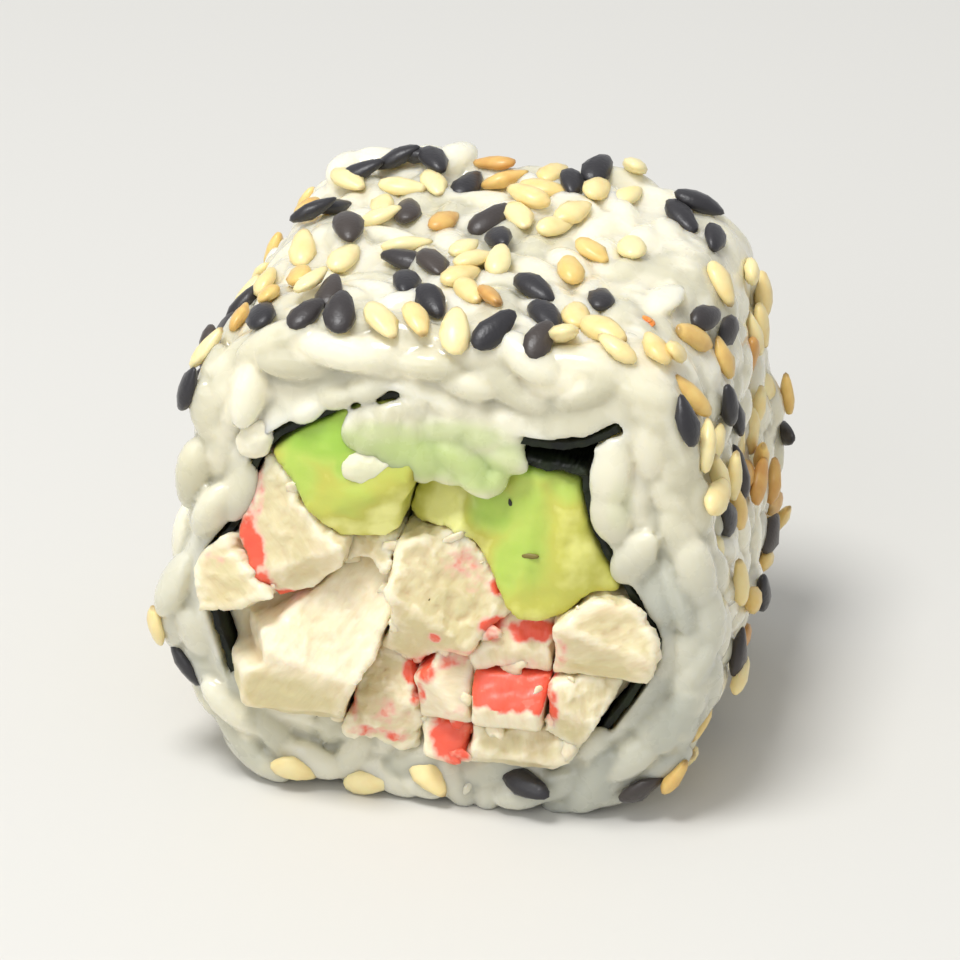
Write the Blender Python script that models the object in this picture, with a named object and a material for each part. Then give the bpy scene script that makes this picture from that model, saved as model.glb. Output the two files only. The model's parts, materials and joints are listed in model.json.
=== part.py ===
"""One cut piece of an uramaki, the sushi roll with its rice outside, lying on its rolled side.

A ring of pressed rice holds a sheet of nori, and the nori holds two strips of avocado and chopped
crab sticks. The roll's axis runs along Y: the cut that faces the guest is at -Y, +X is to its right
and +Z is up. The origin is under the middle of the piece, on the surface that it lies on.

Sizes are millimetres in this file, and metre() turns them into Blender's metres. A section is drawn in
X and Z as seen from the front cut, and every layer carries it through to the back cut along one
common twist, so that the layers keep the same clearance all the way.
"""

import math

import bmesh
import bpy
from mathutils import Matrix, Vector, noise

# The roll
WIDTH = 35.4
HEIGHT = 32.6
LENGTH = 27.0
SQUARENESS = 4.0  # exponent of the superellipse that the rolling mat presses
# Where the sides lean in: (from height, to height, share at the left, share at the right)
NARROWING = ((12.0, 22.0, 0.10, 0.06), (10.0, 3.0, 0.07, 0.07))
SINK = 0.7  # the soft underside is pressed this far flat
RIM_RADIUS = 1.6  # rounding where the rolled side meets a cut
CENTRE = (-0.4, 15.6)  # the section's middle, which the twist turns about
TWIST = math.radians(7.0)  # between the front cut and the back cut

# Lumps of rice: (size of a lump, how far it stands proud)
LUMPS = ((5.2, 0.70), (2.7, 0.60))
HOLLOW = 0.25  # the hollows between lumps are never deeper than this

# Layers
NORI_THICKNESS = 0.5
CLEARANCE = 0.3  # between any two pieces
NORI_SETBACK = 0.25  # from the cuts
NORI_FLAP = (11.1, 27.4)  # the sheet's loose end, which reaches into the rice
NORI_LOOP = (
    (9.2, 26.3), (7.0, 25.9), (4.2, 26.2), (1.4, 27.0), (-1.3, 28.2), (-4.2, 27.9),
    (-7.0, 26.6), (-9.3, 25.2), (-10.9, 23.6), (-12.0, 20.9), (-12.8, 18.2), (-14.2, 16.2),
    (-14.6, 13.6), (-14.2, 11.6), (-13.5, 9.2), (-12.9, 7.2), (-11.4, 6.0), (-8.6, 5.4),
    (-6.0, 4.6), (-3.4, 3.7), (-0.9, 3.5), (1.9, 3.4), (5.0, 3.3), (7.8, 3.6),
    (9.6, 5.0), (11.3, 7.6), (13.0, 10.6), (13.6, 13.4), (12.1, 16.3), (10.3, 19.5),
    (9.4, 22.3), (9.1, 24.1),
)  # fmt: skip
NORI_LAP = ((8.2, 24.4), (6.8, 24.45), (5.1, 24.65))  # the other end, lapped under the first

# Points where the pieces of filling meet inside the nori
SEAMS = {
    "A": (-0.9, 23.3), "B": (-1.9, 21.0), "C": (-2.2, 18.9), "D": (-5.2, 18.5), "E": (-7.4, 19.7),
    "F": (-8.9, 22.0), "G": (-5.7, 16.7), "H": (-7.6, 14.8), "I": (-9.7, 13.9), "J": (-11.5, 15.8),
    "K": (-11.9, 12.5), "L": (-4.2, 17.0), "M": (-2.9, 15.9), "N": (-2.6, 13.6), "O": (-3.4, 11.2),
    "P": (-5.1, 8.3), "Q": (-1.2, 9.7), "R": (-0.9, 6.6), "S": (0.5, 11.7), "T": (2.3, 11.6),
    "U": (3.6, 13.6), "V": (4.8, 14.4), "W": (3.7, 16.9), "X": (2.4, 18.6), "Y": (0.7, 19.4),
    "Z": (7.6, 14.4), "a": (9.6, 16.2), "b": (7.4, 10.5), "c": (2.5, 10.4), "d": (5.2, 10.6),
    "e": (2.5, 6.7), "f": (7.0, 6.8), "g": (8.7, 5.9), "h": (10.2, 10.9), "i": (8.5, 23.6),
    "j": (6.9, 24.0), "k": (4.65, 24.2), "l": (4.5, 25.55),
}  # fmt: skip

# Filling: (outline, finish, facets). An outline goes anticlockwise through seam points, and along the
# nori from one point of its loop to another. A facet is a knife's cut through (x, z) at a reach past the
# roll's cut, as (x, z, reach, lean upwards, turn to the right), with both angles in degrees.
FILLING = {
    "avocado_left": (((4, 8), "FEDCBA"), "avocado",
        ((-5.5, 24.0, 0.3, 14, -8), (-5.0, 19.5, 0.6, -12, 6))),
    "avocado_right": (((28, 31), "ijkl", (2, 4), "ABCYXWVZa"), "avocado",
        ((5.0, 18.0, 0.9, 10, 14), (5.0, 17.0, 0.8, 14, -16))),
    "surimi_upper_left": (((8, 10), "JIHGDEF"), "surimi",
        ((-9.0, 18.5, 0.9, 16, -12), (-8.5, 16.2, 1.1, -22, 10))),
    "surimi_far_left": (((10, 13), "KIJ"), "surimi",
        ((-12.8, 14.6, 1.3, 14, -16),)),
    "surimi_block": (((13, 18), "PONMLGHIK"), "surimi",
        ((-8.5, 10.8, 2.9, 36, 4), (-8.5, 10.8, 2.9, -9, -6), (-8.5, 7.2, 2.3, -54, 0),
         (-12.7, 9.5, 0.6, 0, -62))),
    "surimi_middle": (("GLMCD",), "surimi",
        ((-4.0, 17.6, -0.1, 26, -14),)),
    "surimi_centre": (("MNOQSTUVWXYC",), "surimi",
        ((0.4, 14.5, 1.7, 22, 16), (0.4, 13.2, 1.7, -20, -10))),
    "surimi_red_slice": (("cdbZVUT",), "surimi",
        ((5.0, 12.3, 0.9, 36, 6), (5.0, 12.3, 0.9, -8, 6))),
    "surimi_red_cube": (("efbdc",), "surimi_skin",
        ((4.7, 8.6, 2.3, 44, 2), (4.7, 8.6, 2.3, -6, 2), (4.7, 7.4, 2.1, -50, 0))),
    "surimi_white_cube": (("QRecTS",), "surimi",
        ((0.8, 9.2, 2.0, 28, 28), (0.8, 9.2, 2.0, -12, -24), (0.8, 7.3, 1.6, -50, 0))),
    "surimi_red_chip": (((20, 21), "eR"), "surimi_skin",
        ((0.9, 5.4, 1.1, 18, -12),)),
    "surimi_crumb": (((18, 20), "RQOP"), "surimi",
        ((-3.3, 7.8, 0.4, 20, -14), (-3.3, 6.2, 1.0, -12, 10))),
    "surimi_right_upper": (((26, 28), "aZbh"), "surimi",
        ((10.6, 13.9, 1.6, 24, 12), (10.6, 12.6, 1.6, -16, -8))),
    "surimi_right_lower": (((24, 26), "hbfg"), "surimi",
        ((9.6, 9.2, 1.7, 24, 16), (9.6, 7.6, 1.7, -18, -10))),
    "surimi_flake": (((21, 24), "gfe"), "surimi",
        ((5.6, 5.4, 1.5, 24, 6), (5.6, 4.6, 1.4, -40, 0))),
}  # fmt: skip
EDGE_STEP = 1.9  # an edge of a chunk longer than this is broken by a nick
EDGE_NICK = 0.14
SOFT_CORNER = 0.28  # share of the edge that ripe avocado loses at a corner
BACK_FACETS = ((0.5, 9.0, -7.0), (0.3, -8.0, 6.0))  # (reach, lean, turn) at the other cut

# Colours as the eye sees them: hex, roughness
FINISHES = {
    "rice": ("E3DDC6", 0.38),
    "nori": ("161A12", 0.50),
    "avocado": ("CFD267", 0.34),
    "surimi": ("F0E4BE", 0.42),
    "surimi_skin": ("E9583F", 0.36),
}

# How finely the solids are faceted
RING_STEPS = 90
SIDE_STEPS = 17
BORE_STEPS = 4
FACE_STEPS = 3
STRIP_STEPS = 3
LINE_STEPS = 3


def metre(x, y, z):
    """A point given in millimetres, in metres."""
    return Vector((x, y, z)) * 0.001


def through(x, z, y):
    """The point of a section at depth y, turned by the roll's twist."""
    turn = TWIST * (y / LENGTH + 0.5)
    dx, dz = x - CENTRE[0], z - CENTRE[1]
    return metre(
        CENTRE[0] + dx * math.cos(turn) + dz * math.sin(turn),
        y,
        CENTRE[1] + dz * math.cos(turn) - dx * math.sin(turn),
    )


def smoothstep(share):
    """An eased step from 0 to 1."""
    share = min(1.0, max(0.0, share))
    return share * share * (3 - 2 * share)


def curve_through(points, steps, closed):
    """A Catmull-Rom curve through the points, with steps to each span."""
    count = len(points)
    spans = count if closed else count - 1

    def at(i):
        return Vector(points[i % count] if closed else points[min(max(i, 0), count - 1)])

    line = []
    for i in range(spans):
        a, b, c, d = at(i - 1), at(i), at(i + 1), at(i + 2)
        for k in range(steps):
            t = k / steps
            line.append(
                0.5 * (2 * b + (c - a) * t + (2 * a - 5 * b + 4 * c - d) * t**2 + (3 * b - a - 3 * c + d) * t**3)
            )
    return line if closed else line + [at(count - 1)]


def offset(line, distance, closed):
    """The line moved to its left by distance, with mitred corners."""
    moved = []
    for i, point in enumerate(line):
        before = line[i - 1] if closed or i else point
        after = line[(i + 1) % len(line)] if closed or i + 1 < len(line) else point
        sides = [Vector((-d.y, d.x)).normalized() for d in (point - before, after - point) if d.length > 0]
        middle = sum(sides, Vector((0, 0))).normalized()
        moved.append(point + middle * distance / max(middle.dot(sides[0]), 0.35))
    return moved


def reach_of(outline, angle):
    """How far the closed outline lies from the centre in the direction of angle."""
    centre, ray = Vector(CENTRE), Vector((math.cos(angle), math.sin(angle)))
    furthest = 0.0
    for a, b in zip(outline, outline[1:] + outline[:1]):
        edge, start = b - a, a - centre
        cross = ray.cross(edge)
        if abs(cross) > 1e-9:
            distance, share = start.cross(edge) / cross, start.cross(ray) / cross
            if 0 <= share <= 1:
                furthest = max(furthest, distance)
    return furthest


def rolled_outline(steps):
    """The pressed outside of the rice: a superellipse with narrower shoulders and a sunk underside."""
    outline = []
    for i in range(steps):
        angle = 2 * math.pi * i / steps
        cosine, sine = math.cos(angle), math.sin(angle)
        x = math.copysign(abs(cosine) ** (2 / SQUARENESS), cosine) * WIDTH / 2
        half_height = (HEIGHT + SINK) / 2
        z = math.copysign(abs(sine) ** (2 / SQUARENESS), sine) * half_height + half_height - SINK
        for start, end, left, right in NARROWING:
            x *= 1 - (right if x > 0 else left) * smoothstep((z - start) / (end - start))
        outline.append(Vector((x, z)))
    return outline


def ring_profile():
    """Once round the rice ring's wall: (share of the way out, inset of the outside, depth, is bore)."""
    half = LENGTH / 2
    rim = []
    for lean in (22.5, 67.5):
        drop = RIM_RADIUS * (1 - math.cos(math.radians(lean)))
        back = RIM_RADIUS * (1 - math.sin(math.radians(lean)))
        rim.append((1.0, drop, half - back, False))
    side = half - RIM_RADIUS
    profile = [(1.0, 0.0, side * (2 * i / SIDE_STEPS - 1), False) for i in range(SIDE_STEPS + 1)]
    profile += rim
    for i in range(FACE_STEPS):
        profile.append((1 - i / FACE_STEPS, RIM_RADIUS, half, False))
    profile += [(0.0, 0.0, half * (1 - 2 * i / BORE_STEPS), True) for i in range(BORE_STEPS + 1)]
    for i in reversed(range(FACE_STEPS)):
        profile.append((1 - i / FACE_STEPS, RIM_RADIUS, -half, False))
    profile += [(share, drop, -depth, bore) for share, drop, depth, bore in reversed(rim)]
    return profile


def lump(point):
    """How far the rice stands proud at a point in metres."""
    at = point * 1000
    high = sum(high * noise.noise(at / size) for size, high in LUMPS)
    return max(high, -HOLLOW) * 0.001


def new_object(name, bm, finish):
    """Turns the finished bmesh into a named object with its own material."""
    bmesh.ops.recalc_face_normals(bm, faces=bm.faces)
    mesh = bpy.data.meshes.new(name)
    bm.to_mesh(mesh)
    bm.free()
    mesh.shade_smooth()
    mesh.set_sharp_from_angle(angle=math.radians(35))
    obj = bpy.data.objects.new(name, mesh)
    bpy.context.scene.collection.objects.link(obj)
    mesh.materials.append(food_material(name, *FINISHES[finish]))
    return obj


def food_material(name, colour, roughness):
    material = bpy.data.materials.new(name)
    material.use_nodes = True
    shader = material.node_tree.nodes["Principled BSDF"]
    values = [int(colour[i : i + 2], 16) / 255 for i in (0, 2, 4)]
    linear = [v / 12.92 if v <= 0.04045 else ((v + 0.055) / 1.055) ** 2.4 for v in values]
    shader.inputs["Base Color"].default_value = (*linear, 1.0)
    shader.inputs["Roughness"].default_value = roughness
    shader.inputs["Metallic"].default_value = 0.0
    return material


def chop(bm, point, normal):
    """Cuts away what lies past the plane and closes the cut with one flat face."""
    parts = bm.verts[:] + bm.edges[:] + bm.faces[:]
    cut = bmesh.ops.bisect_plane(bm, geom=parts, plane_co=point, plane_no=normal, clear_outer=True)
    edges = [e for e in cut["geom_cut"] if isinstance(e, bmesh.types.BMEdge)]
    bmesh.ops.holes_fill(bm, edges=edges, sides=0)


def tube_of_rings(rings, close_profile):
    """A mesh of quads between rings of points, each joined to the next. Returns it and its rings."""
    bm = bmesh.new()
    loops = [[bm.verts.new(point) for point in ring] for ring in rings]
    pairs = zip(loops, loops[1:] + loops[:1]) if close_profile else zip(loops, loops[1:])
    for low, high in pairs:
        for i in range(len(low)):
            j = (i + 1) % len(low)
            bm.faces.new((low[i], low[j], high[j], high[i]))
    return bm, loops


def add_rice():
    """The ring of pressed rice, with the slot where the nori's loose end reaches in."""
    outside = rolled_outline(4 * RING_STEPS)
    loop = curve_through(NORI_LOOP, LINE_STEPS, closed=True)
    bore = offset(loop, -(NORI_THICKNESS / 2 + CLEARANCE), closed=True)
    angles = [2 * math.pi * i / RING_STEPS for i in range(RING_STEPS)]
    spans = [(reach_of(bore, a), reach_of(outside, a)) for a in angles]
    rings = []
    for share, drop, depth, _ in ring_profile():
        ring = []
        for angle, (inner, outer) in zip(angles, spans):
            reach = inner + (outer - drop - inner) * share
            x = CENTRE[0] + reach * math.cos(angle)
            z = CENTRE[1] + reach * math.sin(angle)
            turned, straight = through(x, z, depth), metre(x, depth, z)
            ring.append(turned.lerp(straight, share))
        rings.append(ring)
    bm, loops = tube_of_rings(rings, close_profile=True)
    bmesh.ops.recalc_face_normals(bm, faces=bm.faces)
    bm.normal_update()
    for ring, (_, _, _, is_bore) in zip(loops, ring_profile()):
        for vert in ring:
            if not is_bore:
                vert.co += vert.normal * lump(vert.co)
    chop(bm, (0, 0, 0), (0, 0, -1))
    rice = new_object("rice", bm, "rice")
    cut_slot(rice)
    return rice


def cut_slot(rice):
    """Opens the rice along the nori's loose end."""
    start, end = Vector(NORI_LOOP[0]), Vector(NORI_FLAP)
    along = (end - start).normalized()
    side = Vector((-along.y, along.x)) * (NORI_THICKNESS / 2 + CLEARANCE)
    start, end = start - along * 1.2, end + along * CLEARANCE
    corners = (start + side, start - side, end - side, end + side)
    half = LENGTH / 2 + 2
    steps = [half * (2 * i / STRIP_STEPS - 1) for i in range(STRIP_STEPS + 1)]
    bm, loops = tube_of_rings([[through(p.x, p.y, y) for p in corners] for y in steps], close_profile=False)
    bm.faces.new(loops[0])
    bm.faces.new(reversed(loops[-1]))
    cutter = new_object("slot_cutter", bm, "nori")
    cutter.hide_render = True
    cutter.display_type = "WIRE"
    modifier = rice.modifiers.new("slot for the nori's end", "BOOLEAN")
    modifier.operation = "DIFFERENCE"
    modifier.object = cutter


def add_nori():
    """The seaweed sheet, wound once round the filling."""
    line = curve_through((NORI_FLAP, *NORI_LOOP, *NORI_LAP), LINE_STEPS, closed=False)
    outer = offset(line, -NORI_THICKNESS / 2, closed=False)
    inner = offset(line, NORI_THICKNESS / 2, closed=False)
    half = LENGTH / 2 - NORI_SETBACK
    depths = [half * (2 * i / STRIP_STEPS - 1) for i in range(STRIP_STEPS + 1)]
    outline = outer + inner[::-1]
    bm, loops = tube_of_rings([[through(p.x, p.y, y) for p in outline] for y in depths], close_profile=False)
    for ring in (loops[0], loops[-1]):
        for i in range(len(line) - 1):
            bm.faces.new((ring[i], ring[i + 1], ring[-2 - i], ring[-1 - i]))
    return new_object("nori", bm, "nori")


def along_nori(first, last):
    """The points of the filling's edge that follows the nori from one point of its loop to another."""
    loop = curve_through(NORI_LOOP, LINE_STEPS, closed=True)
    inside = offset(loop, NORI_THICKNESS / 2 + CLEARANCE / 2, closed=True)
    count = (last - first) % len(NORI_LOOP) * LINE_STEPS
    return [inside[(first * LINE_STEPS + i) % len(inside)] for i in range(count + 1)]


def nicked(corners):
    """A chopped outline: straight between its corners, apart from a nick in each long edge."""
    outline = []
    for a, b in zip(corners, corners[1:] + corners[:1]):
        outline.append(a)
        along = b - a
        if along.length > EDGE_STEP:
            inward = Vector((-along.y, along.x)).normalized()
            share = 0.5 + 0.2 * noise.noise((a.x, a.y, 0.5))
            outline.append(a + along * share + inward * EDGE_NICK)
    return outline


def softened(corners):
    """A ripe outline: every corner that stands out is cut off, so that nothing grows outwards."""
    outline = []
    for i, point in enumerate(corners):
        before, after = corners[i - 1], corners[(i + 1) % len(corners)]
        if (point - before).cross(after - point) > 0:
            outline.append(point.lerp(before, SOFT_CORNER))
            outline.append(point.lerp(after, SOFT_CORNER))
        else:
            outline.append(point)
    return outline


def add_strip(name, stretches, finish, facets):
    """A strip of filling that runs through the roll, with knife facets at both ends."""
    corners = []
    for stretch in stretches:
        if isinstance(stretch, str):
            corners += [Vector(SEAMS[letter]) for letter in stretch]
        else:
            corners += along_nori(*stretch)
    corners = offset(corners, CLEARANCE / 2, closed=True)
    outline = softened(corners) if finish == "avocado" else nicked(corners)
    beyond = LENGTH / 2 + 4
    depths = [beyond * (2 * i / STRIP_STEPS - 1) for i in range(STRIP_STEPS + 1)]
    rings = [[through(p.x, p.y, y) for p in outline] for y in depths]
    bm, loops = tube_of_rings(rings, close_profile=False)
    bm.faces.new(loops[0])
    bm.faces.new(reversed(loops[-1]))
    bmesh.ops.recalc_face_normals(bm, faces=bm.faces)
    for x, z, reach, lean, turn in facets:
        chop(bm, through(x, z, -LENGTH / 2 - reach), facing(lean, turn))
    middle = sum(corners, Vector((0, 0))) / len(corners)
    for reach, lean, turn in BACK_FACETS:
        chop(bm, through(middle.x, middle.y, LENGTH / 2 + reach), facing(lean, turn + 180))
    return new_object(name, bm, finish)


def facing(lean, turn):
    """The direction of a facet that leans upwards and turns to the right, in degrees."""
    lean, turn = math.radians(lean), math.radians(turn)
    return Vector((math.cos(lean) * math.sin(turn), -math.cos(lean) * math.cos(turn), math.sin(lean)))


def centre_on_origin(objects):
    """Moves the whole piece so that the origin lies under the middle of its box."""
    points = [vert.co for obj in objects for vert in obj.data.vertices]
    middle = [(min(p[k] for p in points) + max(p[k] for p in points)) / 2 for k in (0, 1)]
    for obj in bpy.context.scene.objects:
        obj.data.transform(Matrix.Translation((-middle[0], -middle[1], 0)))


def main():
    for obj in list(bpy.data.objects):
        bpy.data.objects.remove(obj)
    made = [add_rice(), add_nori()]
    for name, (stretches, finish, facets) in FILLING.items():
        made.append(add_strip(name, stretches, finish, facets))
    centre_on_origin(made)


main()
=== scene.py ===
import json
import math

import bpy
import numpy as np
from bpy.props import FloatProperty, FloatVectorProperty, IntProperty, PointerProperty
from mathutils import Matrix, Vector, noise
from mathutils.bvhtree import BVHTree
from mathutils.kdtree import KDTree

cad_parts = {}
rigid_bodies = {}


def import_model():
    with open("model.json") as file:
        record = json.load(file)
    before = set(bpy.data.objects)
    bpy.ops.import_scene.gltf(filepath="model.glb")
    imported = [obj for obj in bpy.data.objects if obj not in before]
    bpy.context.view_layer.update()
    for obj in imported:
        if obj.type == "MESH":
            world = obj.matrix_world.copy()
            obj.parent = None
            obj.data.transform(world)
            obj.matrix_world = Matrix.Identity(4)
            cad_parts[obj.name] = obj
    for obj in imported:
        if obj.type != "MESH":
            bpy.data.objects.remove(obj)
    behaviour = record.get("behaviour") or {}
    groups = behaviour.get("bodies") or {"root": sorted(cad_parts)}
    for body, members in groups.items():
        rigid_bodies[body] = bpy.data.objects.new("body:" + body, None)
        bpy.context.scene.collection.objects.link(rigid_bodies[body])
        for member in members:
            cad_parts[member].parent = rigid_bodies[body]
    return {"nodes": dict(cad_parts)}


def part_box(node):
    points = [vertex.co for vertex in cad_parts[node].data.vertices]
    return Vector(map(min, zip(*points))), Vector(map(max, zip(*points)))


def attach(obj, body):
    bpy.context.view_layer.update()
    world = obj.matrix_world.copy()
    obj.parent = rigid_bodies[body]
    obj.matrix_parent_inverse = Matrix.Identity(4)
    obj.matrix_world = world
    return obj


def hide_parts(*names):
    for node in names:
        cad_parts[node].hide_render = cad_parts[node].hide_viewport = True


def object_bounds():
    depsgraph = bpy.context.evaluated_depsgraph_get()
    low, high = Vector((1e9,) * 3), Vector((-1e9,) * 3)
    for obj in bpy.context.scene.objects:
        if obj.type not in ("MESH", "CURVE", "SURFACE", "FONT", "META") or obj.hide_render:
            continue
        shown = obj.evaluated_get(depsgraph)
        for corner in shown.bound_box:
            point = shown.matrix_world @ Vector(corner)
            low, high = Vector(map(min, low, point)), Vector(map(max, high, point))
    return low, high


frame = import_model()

bl_info = {
    "name": "Uramaki Roll",
    "version": (1, 0, 0),
    "blender": (4, 5, 0),
    "location": "View3D > Sidebar > Uramaki",
    "description": "Rice, seaweed, avocado, crab stick and sesame round the frame of one cut piece of uramaki",
    "category": "Object",
}

MM = 0.001
CAD_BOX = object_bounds()
NORI_LOW, NORI_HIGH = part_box("nori")
RICE_LOW, RICE_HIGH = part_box("rice")
# The section's own axes: x = 0 lies 15.2 mm right of the seaweed's leftmost point, and the cut is just
# in front of the seaweed's edge.
SECTION_X = NORI_LOW.x + 15.2 * MM
CUT_FRONT = NORI_LOW.y - 0.25 * MM
# Seeds on the roll's rounded edges are placed as a guest sees them: on the flat of the top, and from there
# along this line of sight.
SIGHT = Vector((-math.sin(math.radians(12)) * math.cos(math.radians(28)),
                math.cos(math.radians(12)) * math.cos(math.radians(28)), -math.sin(math.radians(28))))  # fmt: skip
TOP_FLAT = 32.6 * MM
SURIMI = sorted(name for name in frame["nodes"] if name.startswith("surimi_"))


def section(x, z, reach=0.0):
    """A point of the front cut given in millimetres, standing out of it by reach."""
    return Vector((SECTION_X + x * MM, CUT_FRONT - reach * MM, z * MM))


def linear(colour):
    """An sRGB hex colour as the linear RGBA that Blender's sockets hold."""
    values = [int(colour[i : i + 2], 16) / 255 for i in (0, 2, 4)]
    return (*((v / 12.92 if v <= 0.04045 else ((v + 0.055) / 1.055) ** 2.4) for v in values), 1.0)


def colour_property(name, description, colour):
    return FloatVectorProperty(
        name=name, description=description, default=linear(colour), size=4, subtype="COLOR", min=0, max=1
    )


def length_property(name, description, millimetres):
    return FloatProperty(
        name=name, description=description, default=millimetres * MM, min=0, unit="LENGTH", precision=5
    )


class RiceSettings(bpy.types.PropertyGroup):
    """Sizes and colours of the cooked rice"""

    grain_length: length_property("Grain length", "Length of a cooked grain", 5.6)
    grain_width: length_property("Grain width", "Width of a cooked grain", 2.6)
    spacing: length_property("Spacing", "Least distance between two grains' middles", 2.05)
    core_depth: length_property("Core depth", "How far the pressed mass lies below the outline", 0.75)
    fuse: length_property("Fuse", "Size of the detail that is left where grains stick together", 0.21)
    bright: colour_property("Bright grain", "Thick, whole grain", "F2ECD4")
    dull: colour_property("Dull grain", "Thin, watery grain", "D3CEB4")
    # painted shade as well as glassy rice: this grey is laid low on the cut and up the side walls, partly where the
    # seaweed shows through, partly for the shade that falls there
    glassy_and_shade: colour_property("Glassy rice", "Low on the cut, where the dark seaweed shows through", "BABBAE")
    # the hollow colour is partly painted shade in the creases between grains, partly thinner rice
    hollow: colour_property("Hollow", "Between grains, where the rice is thin", "B9B7A1")
    stain: colour_property("Stain", "Rice that avocado has rubbed off on", "BCD27C")


class NoriSettings(bpy.types.PropertyGroup):
    """Colours of the seaweed sheet"""

    body: colour_property("Sheet", "Damp pressed seaweed", "0D110B")
    thin: colour_property("Thin spots", "Where light comes through the sheet", "27301A")
    crinkle: length_property("Crinkle", "How far the damp sheet waves", 0.16)


class AvocadoSettings(bpy.types.PropertyGroup):
    """Sizes and colours of the avocado"""

    fuse: length_property("Fuse", "Size of the finest detail", 0.25)
    # also painted light: on the right strip this pale colour lifts a lobe that lies in the shade of the rice above
    pale: colour_property("Pale flesh", "Where the knife has smeared it", "F0EE98")
    yellow: colour_property("Yellow flesh", "Near the stone", "C8C65B")
    green: colour_property("Green flesh", "Towards the skin", "BDD060")
    deep: colour_property("Deep green", "Right under the skin", "A4C94E")
    # painted shade: this olive is laid in the crease where the two slices meet and in the hollows of the relief
    crease_shade: colour_property("Bruise", "Where two slices meet", "A79B32")


class SurimiSettings(bpy.types.PropertyGroup):
    """Sizes and colours of the crab stick"""

    fuse: length_property("Fuse", "Size of the finest detail", 0.22)
    crumble: length_property("Crumble", "How uneven a broken face is", 0.5)
    crumb: length_property("Crumb", "Size of a crumb", 1.1)
    cream: colour_property("Cream", "Cut crab stick", "F4E8CB")
    # the warm cream is also painted as shade on the block's lower front facet
    warm: colour_property("Warm cream", "Crab stick that has soaked up dressing", "DBCE9F")
    shade: colour_property("Shade", "In the pores and between the strands", "D3B98B")
    dye: colour_property("Dye", "The skin's red", "F0634A")
    blush: colour_property("Blush", "Where the dye has run", "EFC0AB")


class SesameSettings(bpy.types.PropertyGroup):
    """Sizes and colours of the sesame seeds"""

    length: length_property("Length", "Length of a seed", 3.3)
    width: length_property("Width", "Width of a seed", 1.85)
    thickness: length_property("Thickness", "Thickness of a seed", 1.1)
    spacing: length_property("Spacing", "Least distance between two seeds where they lie thickest", 1.95)
    black_share: FloatProperty(
        name="Black share", description="Share of black seeds", default=0.36, min=0, max=1, subtype="FACTOR"
    )
    cream: colour_property("Cream", "Hulled seed", "F7E7AE")
    golden: colour_property("Golden", "Lightly toasted seed", "EBC878")
    toasted: colour_property("Toasted", "Well toasted seed", "CF9850")
    tip: colour_property("Tip", "The seed's pointed end", "7A5A33")
    black: colour_property("Black", "Black seed", "29272A")
    brown: colour_property("Brown black", "Faded black seed", "453C36")


class FleckSettings(bpy.types.PropertyGroup):
    """Small flecks on the roll"""

    size: length_property("Size", "Length of an orange fleck", 1.1)
    orange: colour_property("Orange", "Orange fleck", "E8742C")
    dark: colour_property("Dark", "Dark speck", "2B2A20")


class StageSettings(bpy.types.PropertyGroup):
    """Floor, light and camera"""

    floor: colour_property("Floor", "Plain pale floor", "D6D4CE")
    azimuth: FloatProperty(
        name="Azimuth", description="Camera's turn to the right of the cut", default=math.radians(12), subtype="ANGLE"
    )
    elevation: FloatProperty(
        name="Elevation", description="Camera's height above the horizon", default=math.radians(28), subtype="ANGLE"
    )
    distance: length_property("Distance", "From the camera to the roll's middle", 280)
    lens: FloatProperty(name="Lens", description="Focal length in millimetres", default=165, min=1)
    overhead: FloatProperty(name="Overhead light", description="Power of the large soft light", default=2.4, unit="POWER")
    front: FloatProperty(name="Front light", description="Power of the soft light in front", default=0.9, unit="POWER")
    sky: FloatProperty(name="Sky", description="Strength of the light from all round", default=0.6, min=0)


class UramakiSettings(bpy.types.PropertyGroup):
    """Everything that a user would change"""

    rice: PointerProperty(type=RiceSettings)
    nori: PointerProperty(type=NoriSettings)
    avocado: PointerProperty(type=AvocadoSettings)
    surimi: PointerProperty(type=SurimiSettings)
    sesame: PointerProperty(type=SesameSettings)
    flecks: PointerProperty(type=FleckSettings)
    stage: PointerProperty(type=StageSettings)


# ---------------------------------------------------------------- selecting, copying and finishing


def select_only(*objects):
    """Leaves just these selected, with the first one active."""
    bpy.ops.object.select_all(action="DESELECT")
    for obj in objects:
        obj.select_set(True)
    bpy.context.view_layer.objects.active = objects[0]


def apply_modifier(obj, kind, **settings):
    """Adds a modifier and applies it at once."""
    select_only(obj)
    modifier = obj.modifiers.new(kind.lower(), kind)
    for key, value in settings.items():
        setattr(modifier, key, value)
    bpy.ops.object.modifier_apply(modifier=modifier.name)


def copy_of_node(node, name):
    """A welded copy of a frame node, ready to be worked on."""
    source = frame["nodes"][node]
    copy = bpy.data.objects.new(name, source.data.copy())
    copy.data.materials.clear()
    bpy.context.scene.collection.objects.link(copy)
    select_only(copy)
    bpy.ops.object.mode_set(mode="EDIT")
    bpy.ops.mesh.select_all(action="SELECT")
    bpy.ops.mesh.remove_doubles(threshold=0.001 * MM)
    bpy.ops.object.mode_set(mode="OBJECT")
    return copy


def cloud_texture(size, depth=2):
    """A soft noise whose lumps are about size across."""
    name = f"clouds {size / MM:.2f} mm"
    texture = bpy.data.textures.get(name) or bpy.data.textures.new(name, "CLOUDS")
    texture.noise_scale = size
    texture.noise_depth = depth
    return texture


def roughen(obj, size, height, depth=2, **settings):
    """Pushes the surface in and out by up to half of height, in lumps of the given size."""
    apply_modifier(
        obj, "DISPLACE", texture=cloud_texture(size, depth), texture_coords="LOCAL", strength=height,
        mid_level=0.5, **settings,
    )


def fuse(obj, size, rounds=3):
    """Grows everything in the mesh into one skin and softens it."""
    apply_modifier(obj, "REMESH", mode="VOXEL", voxel_size=size * 1, adaptivity=0)
    apply_modifier(obj, "SMOOTH", factor=0.5, iterations=rounds)


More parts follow.
